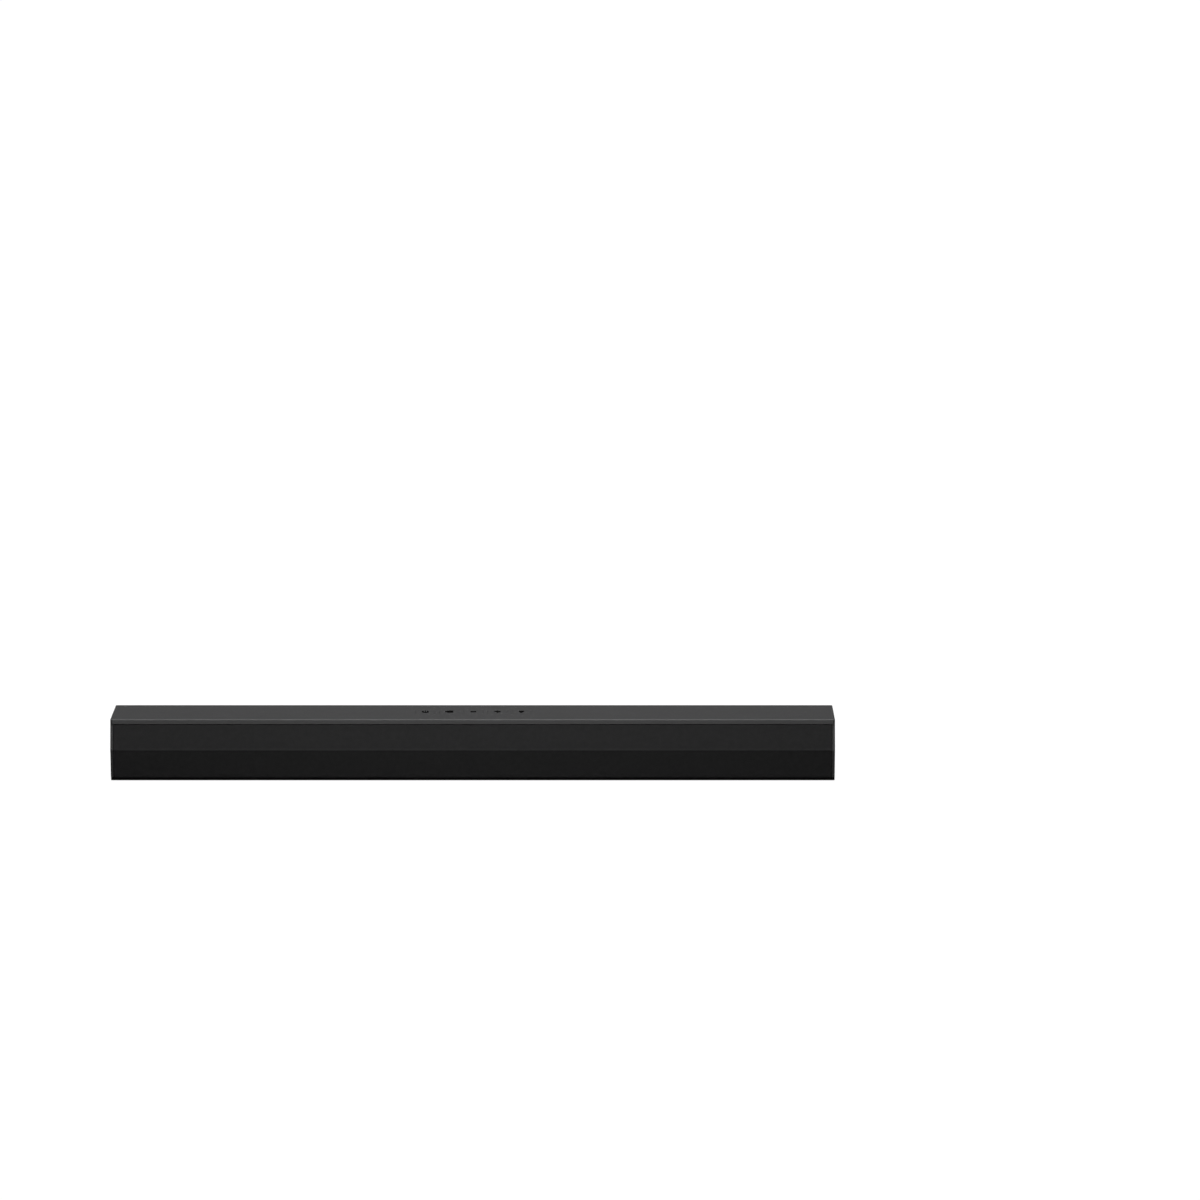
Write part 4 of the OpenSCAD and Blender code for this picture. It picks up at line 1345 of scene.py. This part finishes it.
@dataclass
class Grille:
    """The stretched cloth, its frame and the baffle behind.

    Args:
        corner: radius of the upright corners.
        ridge: half width of the soft turn along the ridge.
        hem: how far the cloth turns in over the frame.
        lift: how far the upper fold stands above the frame.
        drop: how far the lower fold hangs below it.
        top_setback: how far the top edge lies behind the ridge.
        bottom_setback: how far the base of the section lies behind the ridge.
        thickness: thickness of the cloth.
        fold: rows of a turned-in edge, each (distance from the edge, turned in), from the hem outwards.
        ridge_rows: distances of the rows on either side of the ridge.
        flat_rows: quads up each flat side of the ridge.
        columns: quads along the front.
        corner_steps: quads round one corner.
        side_steps: quads from the corner back to the seam.
    """

    corner: float = 1 * MM
    ridge: float = 0.35 * MM
    hem: float = 2.6 * MM
    lift: float = 0.6 * MM
    drop: float = 0.45 * MM
    top_setback: float = 3.6 * MM
    bottom_setback: float = 5 * MM
    thickness: float = 0.45 * MM
    fold: tuple[tuple[float, float], ...] = (
        (0.05 * MM, 0.7 * MM), (0.1 * MM, 0.2 * MM), (0.3 * MM, 0.03 * MM), (1.0 * MM, 0.0),
    )
    ridge_rows: tuple[float, ...] = (0.2 * MM, 0.45 * MM, 0.9 * MM, 1.8 * MM)
    flat_rows: int = 10
    columns: int = 144
    corner_steps: int = 4
    side_steps: int = 3

    def build(self) -> None:
        """Models the cloth and dresses the frame and the baffle."""
        nodes = bpy.data.objects
        for name in ("grille_frame", "front_baffle"):
            FRAME.dress(nodes[name])
        self.cloth()

    def plan(self, half: float, front: float, seam: float) -> list[Vector]:
        """One level of the cloth from above, from the left seam round to the right one.

        Args:
            half: half the width there.
            front: the front's y there.
            seam: y of both seams.

        Returns:
            The points.
        """
        radius = self.corner
        reach = half - radius
        bend = front + radius
        side = [Vector((half, seam + (bend - seam) * k / self.side_steps)) for k in range(self.side_steps)]
        angles = [math.pi / 2 * k / self.corner_steps for k in range(self.corner_steps + 1)]
        arc = [Vector((reach + radius * math.cos(a), bend - radius * math.sin(a))) for a in angles]
        right = side + arc
        left = [Vector((-p.x, p.y)) for p in right]
        middle = [Vector((-reach + 2 * reach * k / self.columns, front)) for k in range(1, self.columns)]
        return left + middle + right[::-1]

    def levels(self, low: float, high: float, middle: float) -> list[tuple[float, float]]:
        """Heights of the cloth's rows, each with how far it is turned in.

        Args:
            low: the cloth's lower edge.
            high: its upper edge.
            middle: the ridge.

        Returns:
            (height, turned in) from the lower hem to the upper one.
        """
        hem = [(self.fold[0][0], self.hem), *self.fold]
        beside = [-side for side in reversed(self.ridge_rows)] + [0.0, *self.ridge_rows]
        steps = [k / self.flat_rows for k in range(1, self.flat_rows)]
        lower = [(low - self.drop + up, turned) for up, turned in hem]
        flat = [(low + (middle - low) * step, 0.0) for step in steps]
        ridge = [(middle + side, 0.0) for side in beside]
        rise = [(middle + (high - middle) * step, 0.0) for step in steps]
        upper = [(high + self.lift - up, turned) for up, turned in reversed(hem)]
        return lower + flat + ridge + rise + upper

    def drape(self) -> list[list[Vector]]:
        """Every point of the cloth as it lies over the frame.

        Returns:
            One row for each level, from the lower hem to the upper one.
        """
        low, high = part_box("grille_cloth")
        base_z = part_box("cabinet")[0].z
        middle = (base_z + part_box("top_cover")[1].z) / 2
        slope_up = self.top_setback / (high.z - middle)
        slope_down = self.bottom_setback / (middle - base_z)
        rows = []
        for z, turned in self.levels(low.z, high.z, middle):
            away = math.hypot(z - middle, self.ridge) - self.ridge
            front = low.y + (slope_up if z > middle else slope_down) * away + turned
            plan = self.plan(high.x - turned, front, high.y)
            rows.append([Vector((p.x, p.y, z)) for p in plan])
        return rows

    def cloth(self) -> bpy.types.Object:
        """One sheet of cloth, drawn over the ridge and round both corners, with its edges turned in.

        Returns:
            The cloth.
        """
        rows = self.drape()
        across, up = len(rows[0]) - 1, len(rows) - 1
        bpy.ops.object.select_all(action="DESELECT")
        bpy.ops.mesh.primitive_grid_add(x_subdivisions=across, y_subdivisions=up, size=1)
        piece = bpy.context.object
        piece.name = "stretched_cloth"
        columns = self.running(rows[len(rows) // 2])
        heights = self.running([row[len(row) // 2] for row in rows])
        place: dict[int, tuple[int, int]] = {}
        for vertex in piece.data.vertices:
            i, j = round((vertex.co.x + 0.5) * across), round((vertex.co.y + 0.5) * up)
            place[vertex.index] = (i, j)
            vertex.co = rows[j][i]
        layer = piece.data.uv_layers[0]
        layer.name = "cloth"
        for loop in piece.data.loops:
            i, j = place[loop.vertex_index]
            layer.data[loop.index].uv = (columns[i], heights[j])
        piece.data.update()
        with editing(piece):
            bpy.ops.mesh.select_all(action="SELECT")
            bpy.ops.mesh.normals_make_consistent(inside=False)
        self.face_out(piece)
        apply_modifier(piece, "SOLIDIFY", thickness=self.thickness, offset=-1.0)
        smooth(piece, 60)
        fit(piece, CLOTH, HOUSING, "grille_cloth")
        LOG.info("cloth cut to %.4f by %.4f m", columns[-1], heights[-1])
        return piece

    def running(self, line: Sequence[Vector]) -> list[float]:
        """Length along a line of points.

        Args:
            line: the points.

        Returns:
            The length from the first point to each of them.
        """
        total = [0.0]
        for a, b in zip(line, line[1:]):
            total.append(total[-1] + (b - a).length)
        return total

    def face_out(self, piece: bpy.types.Object) -> None:
        """Turns a sheet's faces to the listener if they point into the bar.

        Args:
            piece: the sheet.
        """
        front = min(piece.data.polygons, key=lambda face: face.center.y)
        if front.normal.y > 0:
            with editing(piece):
                bpy.ops.mesh.select_all(action="SELECT")
                bpy.ops.mesh.flip_normals()


# ---------------------------------------------------------------- keys


class Mark(Enum):
    """What stands on a key."""

    POWER = "power"
    SOURCE = "source"
    MINUS = "volume_down"
    PLUS = "volume_up"
    WAVES = "pairing"


@dataclass
class Keys:
    """Five push keys with raised marks, the domes under them and their board.

    Args:
        flange: width of the flange that holds a key in.
        flange_height: its thickness.
        ease: how much the cap grows into the opening's play.
        corner: radius of a cap's corners.
        edge: radius along a cap's upper edge.
        cap_height: height of a cap above its flange.
        stem: radius of the stem that presses the dome.
        travel: how far a key goes down.
        relief: how far a mark stands above its cap.
        sunk: how far it reaches into the cap.
        line: width of a mark's lines.
        bar: width of the plus and minus marks' bars.
    """

    flange: float = 1.0 * MM
    flange_height: float = 1.0 * MM
    ease: float = 0.17 * MM
    corner: float = 1.5 * MM
    edge: float = 0.12 * MM
    cap_height: float = 2.55 * MM
    stem: float = 2.5 * MM
    # travel: how far a key goes down; not used.
    travel: float = 0.8 * MM
    relief: float = 0.95 * MM
    sunk: float = 0.05 * MM
    line: float = 0.95 * MM
    bar: float = 1.5 * MM

    def build(self) -> None:
        """Models the keys, their marks and domes, and dresses the key board."""
        nodes = bpy.data.objects
        for mark in Mark:
            self.cap(mark.value)
            self.raised(mark)
            self.dome(mark.value)
        BOARD.dress(nodes["key_board"])
        FILM.dress(nodes["key_ribbon"])

    def cap(self, name: str) -> bpy.types.Object:
        """One key cap with its flange and stem.

        Args:
            name: the key's name.

        Returns:
            The cap.
        """
        low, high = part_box(f"{name}_key")
        middle = (low + high) / 2
        seat = high.z - self.cap_height
        root = seat - self.flange_height
        inset = Vector((self.flange - self.ease, self.flange - self.ease, 0))
        cap = rounded_block("cap", Vector((low.x, low.y, seat)) + inset, high - inset, self.corner, 5)
        bevel_edges(cap, lambda a, b: min(a.z, b.z) > high.z - MERGE, self.edge, 3)
        flange = rounded_block(
            "flange", (low.x, low.y, root), (high.x, high.y, seat + 0.01 * MM), self.corner, 5
        )
        stem = rod("stem", (middle.x, middle.y, low.z), (middle.x, middle.y, root), self.stem)
        piece = smooth(join(f"{name}_cap", [cap, flange, stem]), 30)
        return fit(piece, KEYCAP, f"{name}_button", f"{name}_key")

    def raised(self, mark: Mark) -> bpy.types.Object:
        """The mark on one key, raised from its cap.

        Args:
            mark: which mark.

        Returns:
            The mark.
        """
        low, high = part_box(f"{mark.value}_key")
        middle = Vector(((low.x + high.x) / 2, (low.y + high.y) / 2, high.z))
        drawn = {
            Mark.POWER: self.power_mark,
            Mark.SOURCE: self.source_mark,
            Mark.MINUS: self.minus_mark,
            Mark.PLUS: self.plus_mark,
            Mark.WAVES: self.waves_mark,
        }[mark](middle)
        piece = smooth(join(f"{mark.value}_mark", drawn), 30)
        return fit(piece, INK, f"{mark.value}_button")

    def stroke(self, middle: Vector, dx: float, dy: float, width: float, depth: float) -> bpy.types.Object:
        """A bar of a mark.

        Args:
            middle: the mark's middle on the cap.
            dx: the bar's middle from there, along the bar.
            dy: the same, towards the back.
            width: its size along the bar.
            depth: its size across the bar.

        Returns:
            The bar.
        """
        half = Vector((width / 2, depth / 2, 0))
        centre = middle + Vector((dx, dy, 0))
        radius = min(width, depth) * 0.3
        low, high = centre - half - Vector((0, 0, self.sunk)), centre + half + Vector((0, 0, self.relief))
        return rounded_block("stroke", low, high, radius, 3)

    def ring(self, middle: Vector, radius: float, gap: float, facing: float) -> bpy.types.Object:
        """An open ring of a mark.

        Args:
            middle: its middle on the cap.
            radius: its outer radius.
            gap: the open angle in degrees.
            facing: the direction of the opening, in degrees from +X.

        Returns:
            The ring.
        """
        down, up = Vector((0, 0, self.sunk)), Vector((0, 0, self.relief))
        ring = tube("ring", middle - down, middle + up, radius, radius - self.line, 48)
        if gap <= 0:
            return ring
        wedge_steps = max(1, round(gap / 20))
        reach = radius * 1.6
        cutters = []
        for k in range(wedge_steps):
            angle = math.radians(facing - gap / 2 + gap * (k + 0.5) / wedge_steps)
            half = math.tan(math.radians(gap / wedge_steps / 2)) * reach * 1.02
            wedge = block("wedge", (0, -half, -MM), (reach, half, MM))
            with editing(wedge) as mesh:
                for vertex in mesh.verts:
                    if vertex.co.x < MERGE:
                        vertex.co.y = 0
                bpy.ops.mesh.select_all(action="SELECT")
                bpy.ops.mesh.remove_doubles(threshold=MERGE)
            wedge.data.transform(Matrix.Translation(middle) @ Matrix.Rotation(angle, 4, "Z"))
            cutters.append(wedge)
        return cut(ring, *cutters)

    def power_mark(self, middle: Vector) -> list[bpy.types.Object]:
        """An open ring with a bar through its gap.

        Args:
            middle: the mark's middle on the cap.

        Returns:
            Its strokes.
        """
        return [
            self.ring(middle - Vector((0, 0.4 * MM, 0)), radius=3.4 * MM, gap=76, facing=90),
            self.stroke(middle, dx=0, dy=2.0 * MM, width=self.line, depth=3.6 * MM),
        ]

    def source_mark(self, middle: Vector) -> list[bpy.types.Object]:
        """An arrow that goes into an open frame.

        Args:
            middle: the mark's middle on the cap.

        Returns:
            Its strokes.
        """
        frame = self.stroke(middle, dx=0.8 * MM, dy=0, width=6.4 * MM, depth=6.6 * MM)
        inner_low, inner_high = Vector((-1.6 * MM, -2.4 * MM, -MM)), Vector((3.1 * MM, 2.4 * MM, MM))
        mouth_low, mouth_high = Vector((-4 * MM, -1.9 * MM, -MM)), Vector((-1.2 * MM, 1.9 * MM, MM))
        inner = block("inner", middle + inner_low, middle + inner_high)
        mouth = block("mouth", middle + mouth_low, middle + mouth_high)
        shaft = self.stroke(middle, dx=-2.2 * MM, dy=0, width=4.2 * MM, depth=self.line)
        head = middle + Vector((0.6 * MM, 0, 0))
        down, up = Vector((0, 0, self.sunk)), Vector((0, 0, self.relief))
        tip = rod("tip", head - down, head + up, radius=1.8 * MM, sides=3)
        return [cut(frame, inner, mouth), shaft, turned_about(tip, head, -90, "Z")]

    def minus_mark(self, middle: Vector) -> list[bpy.types.Object]:
        """One bar."""
        return [self.stroke(middle, dx=0, dy=0, width=5.6 * MM, depth=self.bar)]

    def plus_mark(self, middle: Vector) -> list[bpy.types.Object]:
        """Two crossed bars, the upright one in two halves.

        Args:
            middle: the mark's middle on the cap.

        Returns:
            Its strokes.
        """
        level = self.stroke(middle, dx=0, dy=0, width=6.4 * MM, depth=self.bar)
        far = self.stroke(middle, dx=0, dy=2.1 * MM, width=self.bar, depth=2.8 * MM)
        near = self.stroke(middle, dx=0, dy=-2.1 * MM, width=self.bar, depth=2.8 * MM)
        return [level, far, near]

    def waves_mark(self, middle: Vector) -> list[bpy.types.Object]:
        """A dot with two arcs beyond it, for a wireless link.

        Args:
            middle: the mark's middle on the cap.

        Returns:
            Its strokes.
        """
        down, up = Vector((0, 0, self.sunk)), Vector((0, 0, self.relief))
        foot = middle - Vector((0, 3.0 * MM, 0))
        return [
            rod("dot", foot - down, foot + up, radius=0.9 * MM, sides=24),
            self.ring(foot, radius=3.1 * MM, gap=290, facing=270),
            self.ring(foot, radius=5.4 * MM, gap=300, facing=270),
        ]

    def dome(self, name: str) -> bpy.types.Object:
        """One silicone dome under a key.

        Args:
            name: the key's name.

        Returns:
            The dome.
        """
        piece = refined_copy(bpy.data.objects[f"{name}_dome"], f"{name}_silicone", 0.15 * MM)
        fit(piece, SILICONE, HOUSING, f"{name}_dome")
        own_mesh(piece)
        return piece


# ---------------------------------------------------------------- sockets


@dataclass(frozen=True)
class ContactRow:
    """The flat contacts on a socket's tongue.

    Args:
        socket: the socket's node.
        name: the piece's name.
        count: how many contacts there are.
        pitch: distance between two of them.
        width: width of one.
        inner: how far inside the mouth a contact ends.
        outer: how far inside the mouth it begins.
        face: height of the tongue's face above the socket's underside.
        depth: how deep a contact lies in the tongue.
    """

    socket: str
    name: str
    count: int
    pitch: float
    width: float
    inner: float
    outer: float
    face: float
    depth: float

    def build(self) -> bpy.types.Object:
        """Models the contacts.

        Returns:
            The contacts, in one piece.
        """
        low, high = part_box(self.socket)
        first = (low.x + high.x) / 2 - self.pitch * (self.count - 1) / 2
        back, front = high.y - self.inner, high.y - self.outer
        under, face = low.z + self.face - self.depth, low.z + self.face + 0.02 * MM
        half = self.width / 2
        strips = []
        for k in range(self.count):
            x = first + k * self.pitch
            strips.append(block("strip", (x - half, back, under), (x + half, front, face)))
        return fit(join(self.name, strips), GOLD, HOUSING)


@dataclass(frozen=True)
class SocketMark:
    """The outline printed above one socket.

    Args:
        socket: the socket's node.
        width: its width.
        height: its height.
        is_round: whether it is a ring.
        has_dot: whether a dot stands in its middle.
    """

    socket: str
    width: float
    height: float
    is_round: bool = False
    has_dot: bool = True


@dataclass
class SocketBay:
    """The sockets in the back, their panel and the marks above them.

    Args:
        edge: width of the broken edges on the sockets.
        flap_edge: width of those on the shutter.
        rows: the rows of flat contacts.
        marks: the printed outlines.
        mark_line: width of a mark's lines.
        mark_drop: how far the marks lie below the panel's top.
        mark_relief: how far a mark stands out from the panel.
    """

    edge: float = 0.12 * MM
    flap_edge: float = 0.06 * MM
    rows: tuple[ContactRow, ...] = (
        ContactRow("hdmi_port", "hdmi_contacts", count=10, pitch=1.0 * MM, width=0.4 * MM,
                   inner=8 * MM, outer=1.9 * MM, face=3.3 * MM, depth=0.12 * MM),
        ContactRow("usb_port", "usb_contacts", count=4, pitch=2.4 * MM, width=1.0 * MM,
                   inner=9 * MM, outer=2.4 * MM, face=3.4 * MM, depth=0.15 * MM),
    )
    marks: tuple[SocketMark, ...] = (
        SocketMark("dc_jack", 3.0 * MM, 3.0 * MM, is_round=True),
        SocketMark("hdmi_port", 5.2 * MM, 2.0 * MM),
        SocketMark("optical_port", 3.2 * MM, 3.2 * MM),
        SocketMark("usb_port", 4.6 * MM, 1.8 * MM, has_dot=False),
        SocketMark("audio_jack", 3.0 * MM, 3.0 * MM, is_round=True),
    )
    mark_line: float = 0.3 * MM
    mark_drop: float = 5.5 * MM
    mark_relief: float = 0.04 * MM

    def build(self) -> None:
        """Refines the sockets, gives them contacts and prints the marks."""
        finishes = {
            "dc_jack": SOCKET, "hdmi_port": NICKEL, "optical_port": SOCKET, "usb_port": NICKEL,
            "audio_jack": SOCKET,
        }
        nodes = bpy.data.objects
        for name, finish in finishes.items():
            fit(refined_copy(nodes[name], f"{name}_body", self.edge), finish, HOUSING, name)
        panel = refined_copy(nodes["jack_panel"], "socket_panel", self.edge)
        fit(panel, FRAME, HOUSING, "jack_panel")
        flap = refined_copy(nodes["optical_shutter"], "shutter_flap", self.flap_edge)
        fit(flap, SOCKET, "shutter", "optical_shutter")
        for row in self.rows:
            row.build()
        self.audio_contact()
        self.dc_contacts()
        self.optical_lens()
        self.print_marks()

    def audio_contact(self) -> bpy.types.Object:
        """The metal ring round the audio jack's mouth.

        Returns:
            The ring.
        """
        low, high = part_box("audio_jack")
        centre = Vector(((low.x + high.x) / 2, high.y, low.z + 3.5 * MM))
        inside, outside = Vector((0, 0.6 * MM, 0)), Vector((0, 0.35 * MM, 0))
        ring = tube("jack_ring", centre - inside, centre + outside, outer=2.9 * MM, inner=1.82 * MM, sides=48)
        bevel_edges(ring, lambda a, b: min(a.y, b.y) > centre.y + 0.3 * MM, 0.15 * MM, 2)
        return fit(smooth(ring, 40), NICKEL, HOUSING)

    def dc_contacts(self) -> bpy.types.Object:
        """The pin of the power inlet and the barrel around it.

        Returns:
            Both, in one piece.
        """
        low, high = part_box("dc_jack")
        mouth = Vector(((low.x + high.x) / 2, high.y, low.z + 5.8 * MM))
        pin_ends = (mouth - Vector((0, 10 * MM, 0)), mouth - Vector((0, 0.9 * MM, 0)))
        barrel_ends = (mouth - Vector((0, 9.5 * MM, 0)), mouth - Vector((0, 1.5 * MM, 0)))
        pin = rod("pin_sleeve", *pin_ends, radius=1.04 * MM, sides=24)
        bevel_edges(pin, lambda a, b: min(a.y, b.y) > mouth.y - MM, 0.4 * MM, 3)
        barrel = tube("pin_barrel", *barrel_ends, outer=3.18 * MM, inner=2.95 * MM, sides=40)
        return fit(smooth(join("dc_contacts", [pin, barrel]), 40), NICKEL, HOUSING)

    def optical_lens(self) -> bpy.types.Object:
        """The red lens at the bottom of the optical socket.

        Returns:
            The lens.
        """
        low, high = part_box("optical_port")
        root = Vector(((low.x + high.x) / 2, low.y + 3.9 * MM, (low.z + high.z) / 2))
        tip = root + Vector((0, 1.2 * MM, 0))
        lens = rod("optical_lens", root, tip, radius=1.6 * MM, sides=32, end_radius=1.1 * MM)
        return fit(smooth(lens, 40), SLEEVING, HOUSING)

    def print_marks(self) -> bpy.types.Object:
        """Plain outlines above the sockets, one for each kind.

        Returns:
            The marks.
        """
        _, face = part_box("jack_panel")
        back = Vector((0, self.mark_relief, 0))
        drawn = []
        for mark in self.marks:
            low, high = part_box(mark.socket)
            centre = Vector(((low.x + high.x) / 2, face.y, face.z - self.mark_drop))
            drawn.append(self.outline(centre, mark))
            if mark.has_dot:
                drawn.append(rod("dot", centre - back, centre + back, radius=0.5 * MM, sides=20))
        return fit(smooth(join("socket_marks", drawn), 30), PALE_INK, HOUSING)

    def outline(self, centre: Vector, mark: SocketMark) -> bpy.types.Object:
        """A thin frame or ring on the panel's face.

        Args:
            centre: its middle.
            mark: its sizes.

        Returns:
            The outline.
        """
        back = Vector((0, self.mark_relief, 0))
        radius = mark.width / 2
        if mark.is_round:
            return tube("outline", centre - back, centre + back, radius, radius - self.mark_line, 40)
        half = Vector((radius, self.mark_relief, mark.height / 2))
        inner = Vector((radius - self.mark_line, MM, mark.height / 2 - self.mark_line))
        frame = block("outline", centre - half, centre + half)
        return cut(frame, block("inner", centre - inner, centre + inner))


# ---------------------------------------------------------------- drivers and electronics


@dataclass
class Driver:
    """One full-range driver.

    Args:
        side: left or right.
        surround_span: depths in front of the cone at which the surround stays and moves; not used.
        spider_span: the same for the spider, behind its front face; not used.
    """

    side: str
    surround_span: tuple[float, float] = (0.9 * MM, 0.1 * MM)
    spider_span: tuple[float, float] = (0.5 * MM, 1.1 * MM)

    def build(self) -> None:
        """Dresses the driver's pieces, and makes the two that flex."""
        finishes = {
            "basket": BASKET, "cone": PAPER, "dust_cap": CAP_PAPER, "voice_coil": COPPER,
            "top_plate": PLATE, "magnet": MAGNET, "yoke": PLATE,
        }
        for part, finish in finishes.items():
            finish.dress(bpy.data.objects[f"{self.side}_{part}"])
        self.flexing("surround", BUTYL)
        self.flexing("spider", RESIN_CLOTH)

    def flexing(
        self, part: str, finish: Finish
    ) -> bpy.types.Object:
        """A ring that is glued to the basket outside and to the moving parts inside.

        Args:
            part: surround or spider.
            finish: its finish.

        Returns:
            The ring.
        """
        node = f"{self.side}_{part}"
        piece = finish.dress(refined_copy(bpy.data.objects[node], f"{node}_ring", 0.0))
        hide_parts(node)
        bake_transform(piece)
        return piece


class Electronics:
    """The boards and what stands on them, and the loose pieces inside."""

    def build(self) -> None:
        """Dresses the inner nodes."""
        finishes = {
            "main_board": BOARD, "status_board": BOARD, "processor": CHIP, "amplifier_chip": CHIP,
            "heat_sink": ALUMINIUM, "capacitors": SLEEVE, "inductors": FERRITE, "wireless_module": MODULE,
            "board_headers": NYLON, "driver_gaskets": FOAM, "damping_pads": WADDING,
            "speaker_wires": SLEEVING,
        }
        for name, finish in finishes.items():
            finish.dress(bpy.data.objects[name])
            LOG.info("%s dressed as %s", name, finish.name)


# ---------------------------------------------------------------- stage


@dataclass(frozen=True)
class Softbox:
    """One rectangular soft light, which the camera doesn't see.

    Args:
        name: its name.
        place: where it hangs.
        target: what it faces.
        size: its width and height.
        power: its power in watts.
        glossy: whether it shows in reflections.
        diffuse: whether it lights matt surfaces.
    """

    name: str
    place: tuple[float, float, float]
    target: tuple[float, float, float]
    size: tuple[float, float]
    power: float
    glossy: bool = True
    diffuse: bool = True

    def hang(self) -> bpy.types.Object:
        """Makes the light.

        Returns:
            The light.
        """
        data = bpy.data.lights.new(self.name, "AREA")
        data.shape = "RECTANGLE"
        data.size, data.size_y = self.size
        data.energy = self.power
        light = bpy.data.objects.new(self.name, data)
        bpy.context.scene.collection.objects.link(light)
        light.location = self.place
        light.rotation_euler = (Vector(self.target) - Vector(self.place)).to_track_quat("-Z", "Y").to_euler()
        light.visible_camera = False
        light.visible_glossy = self.glossy
        light.visible_diffuse = self.diffuse
        return light


@dataclass
class Studio:
    """The pale floor, the lights and the camera.

    Args:
        lens: focal length in millimetres.
        sensor: the sensor's width in millimetres.
        reach: the farthest distance that the camera sees.
        station: where the camera stands.
        pitch: how far it looks down, in radians.
        sun_rise: the overhead light's height above the horizon, in degrees.
        sun_width: how wide it looks, in degrees.
        sun_strength: its strength in watts per square metre.
        softboxes: the other lights.
        sky_rise: where the surround begins and ends growing brighter, as the sine of the height.
        sky_strength: its strength below the first and above the second.
        floor_size: the floor's side.
        floor_middle: how far behind the bar its middle lies.
        paper: the floor's finish.
    """

    lens: float = 207.4
    sensor: float = 36.0
    reach: float = 60.0
    station: tuple[float, float, float] = (0.1265, -6.80, 1.2597)
    pitch: float = 0.15792
    sun_rise: float = 75.0
    sun_width: float = 50.0
    sun_strength: float = 3.7
    softboxes: tuple[Softbox, ...] = (
        Softbox("front_light", (0.02, -0.56, 0.47), (0.0, -0.04, 0.03), (0.4, 0.25), 1.8),
        Softbox("left_light", (-1.7, -0.5, 0.45), (-0.3, 0.0, 0.03), (0.5, 0.5), 1.3),
        Softbox("right_light", (1.7, -0.5, 0.45), (0.3, 0.0, 0.03), (0.5, 0.5), 1.3),
        Softbox("rear_light", (0.0, 1.5, 0.75), (0.0, 0.0, 0.03), (1.6, 0.5), 18.0, glossy=False),
        Softbox("low_light", (0.0, -1.3, 0.08), (0.0, 0.0, 0.05), (1.6, 0.1), 8.5, diffuse=False),
    )
    sky_rise: tuple[float, float] = (0.1, 0.7)
    sky_strength: tuple[float, float] = (0.03, 0.14)
    floor_size: float = 60.0
    floor_middle: float = 10.0
    paper: Finish = Finish("floor_paper", "", (0.08, 0.08, 0.08), 0.9, specular=0.0, mottle=0.004,
                           mottle_size=400 * MM, depth=0.0, glow=0.93)

    def build(self) -> None:
        """Sets up the whole stage."""
        bpy.context.scene.view_settings.view_transform = "Standard"
        self.camera()
        self.floor()
        self.sky()
        self.sun()
        for softbox in self.softboxes:
            softbox.hang()

    def camera(self) -> None:
        """The camera, at eye height in front of the bar."""
        data = bpy.data.cameras.new("camera")
        data.lens = self.lens
        data.sensor_width = self.sensor
        data.clip_end = self.reach
        camera = bpy.data.objects.new("camera", data)
        bpy.context.scene.collection.objects.link(camera)
        camera.location = self.station
        camera.rotation_euler = (math.pi / 2 - self.pitch, 0, 0)
        bpy.context.scene.camera = camera

    def floor(self) -> None:
        """A wide pale floor with the faintest grain, which neither lights the bar nor shows in it."""
        bpy.ops.object.select_all(action="DESELECT")
        bpy.ops.mesh.primitive_plane_add(size=self.floor_size, location=(0, self.floor_middle, 0))
        floor = bpy.context.object
        floor.name = "floor"
        settle(floor)
        floor.visible_diffuse = False
        floor.visible_glossy = False
        self.paper.dress(floor)

    def sky(self) -> None:
        """A surround that is pale overhead and dark at the horizon and below."""
        world = bpy.data.worlds.new("surround")
        bpy.context.scene.world = world
        sheet = ShaderSheet(world)
        place = sheet.node("ShaderNodeTexCoord", {}, {}).outputs["Generated"]
        limits = (sheet.axes(place)[2], *self.sky_rise, *self.sky_strength)
        strength = sheet.node("ShaderNodeMapRange", {}, dict(enumerate(limits))).outputs[0]
        sheet.close("ShaderNodeBackground", "ShaderNodeOutputWorld", {"Strength": strength})

    def sun(self) -> bpy.types.Object:
        """A wide, soft light from far above and in front.

        Returns:
            The light.
        """
        data = bpy.data.lights.new("overhead_light", "SUN")
        data.energy = self.sun_strength
        data.angle = math.radians(self.sun_width)
        light = bpy.data.objects.new("overhead_light", data)
        bpy.context.scene.collection.objects.link(light)
        light.rotation_euler = (math.radians(90 - self.sun_rise), 0, 0)
        return light


# ---------------------------------------------------------------- assembly


def corners(box: Box) -> list[list[float]]:
    """A box's two corners as plain lists of numbers."""
    return [list(corner) for corner in box]


def main() -> None:
    """Builds the soundbar in order."""
    logging.basicConfig(level=logging.INFO, format="%(name)s: %(message)s")
    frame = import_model()
    Studio().build()
    TopCover().build()
    Cabinet().build()
    Grille().build()
    Keys().build()
    SocketBay().build()
    for side in SIDES:
        Driver(side).build()
    Electronics().build()


if __name__ == "__main__":
    main()
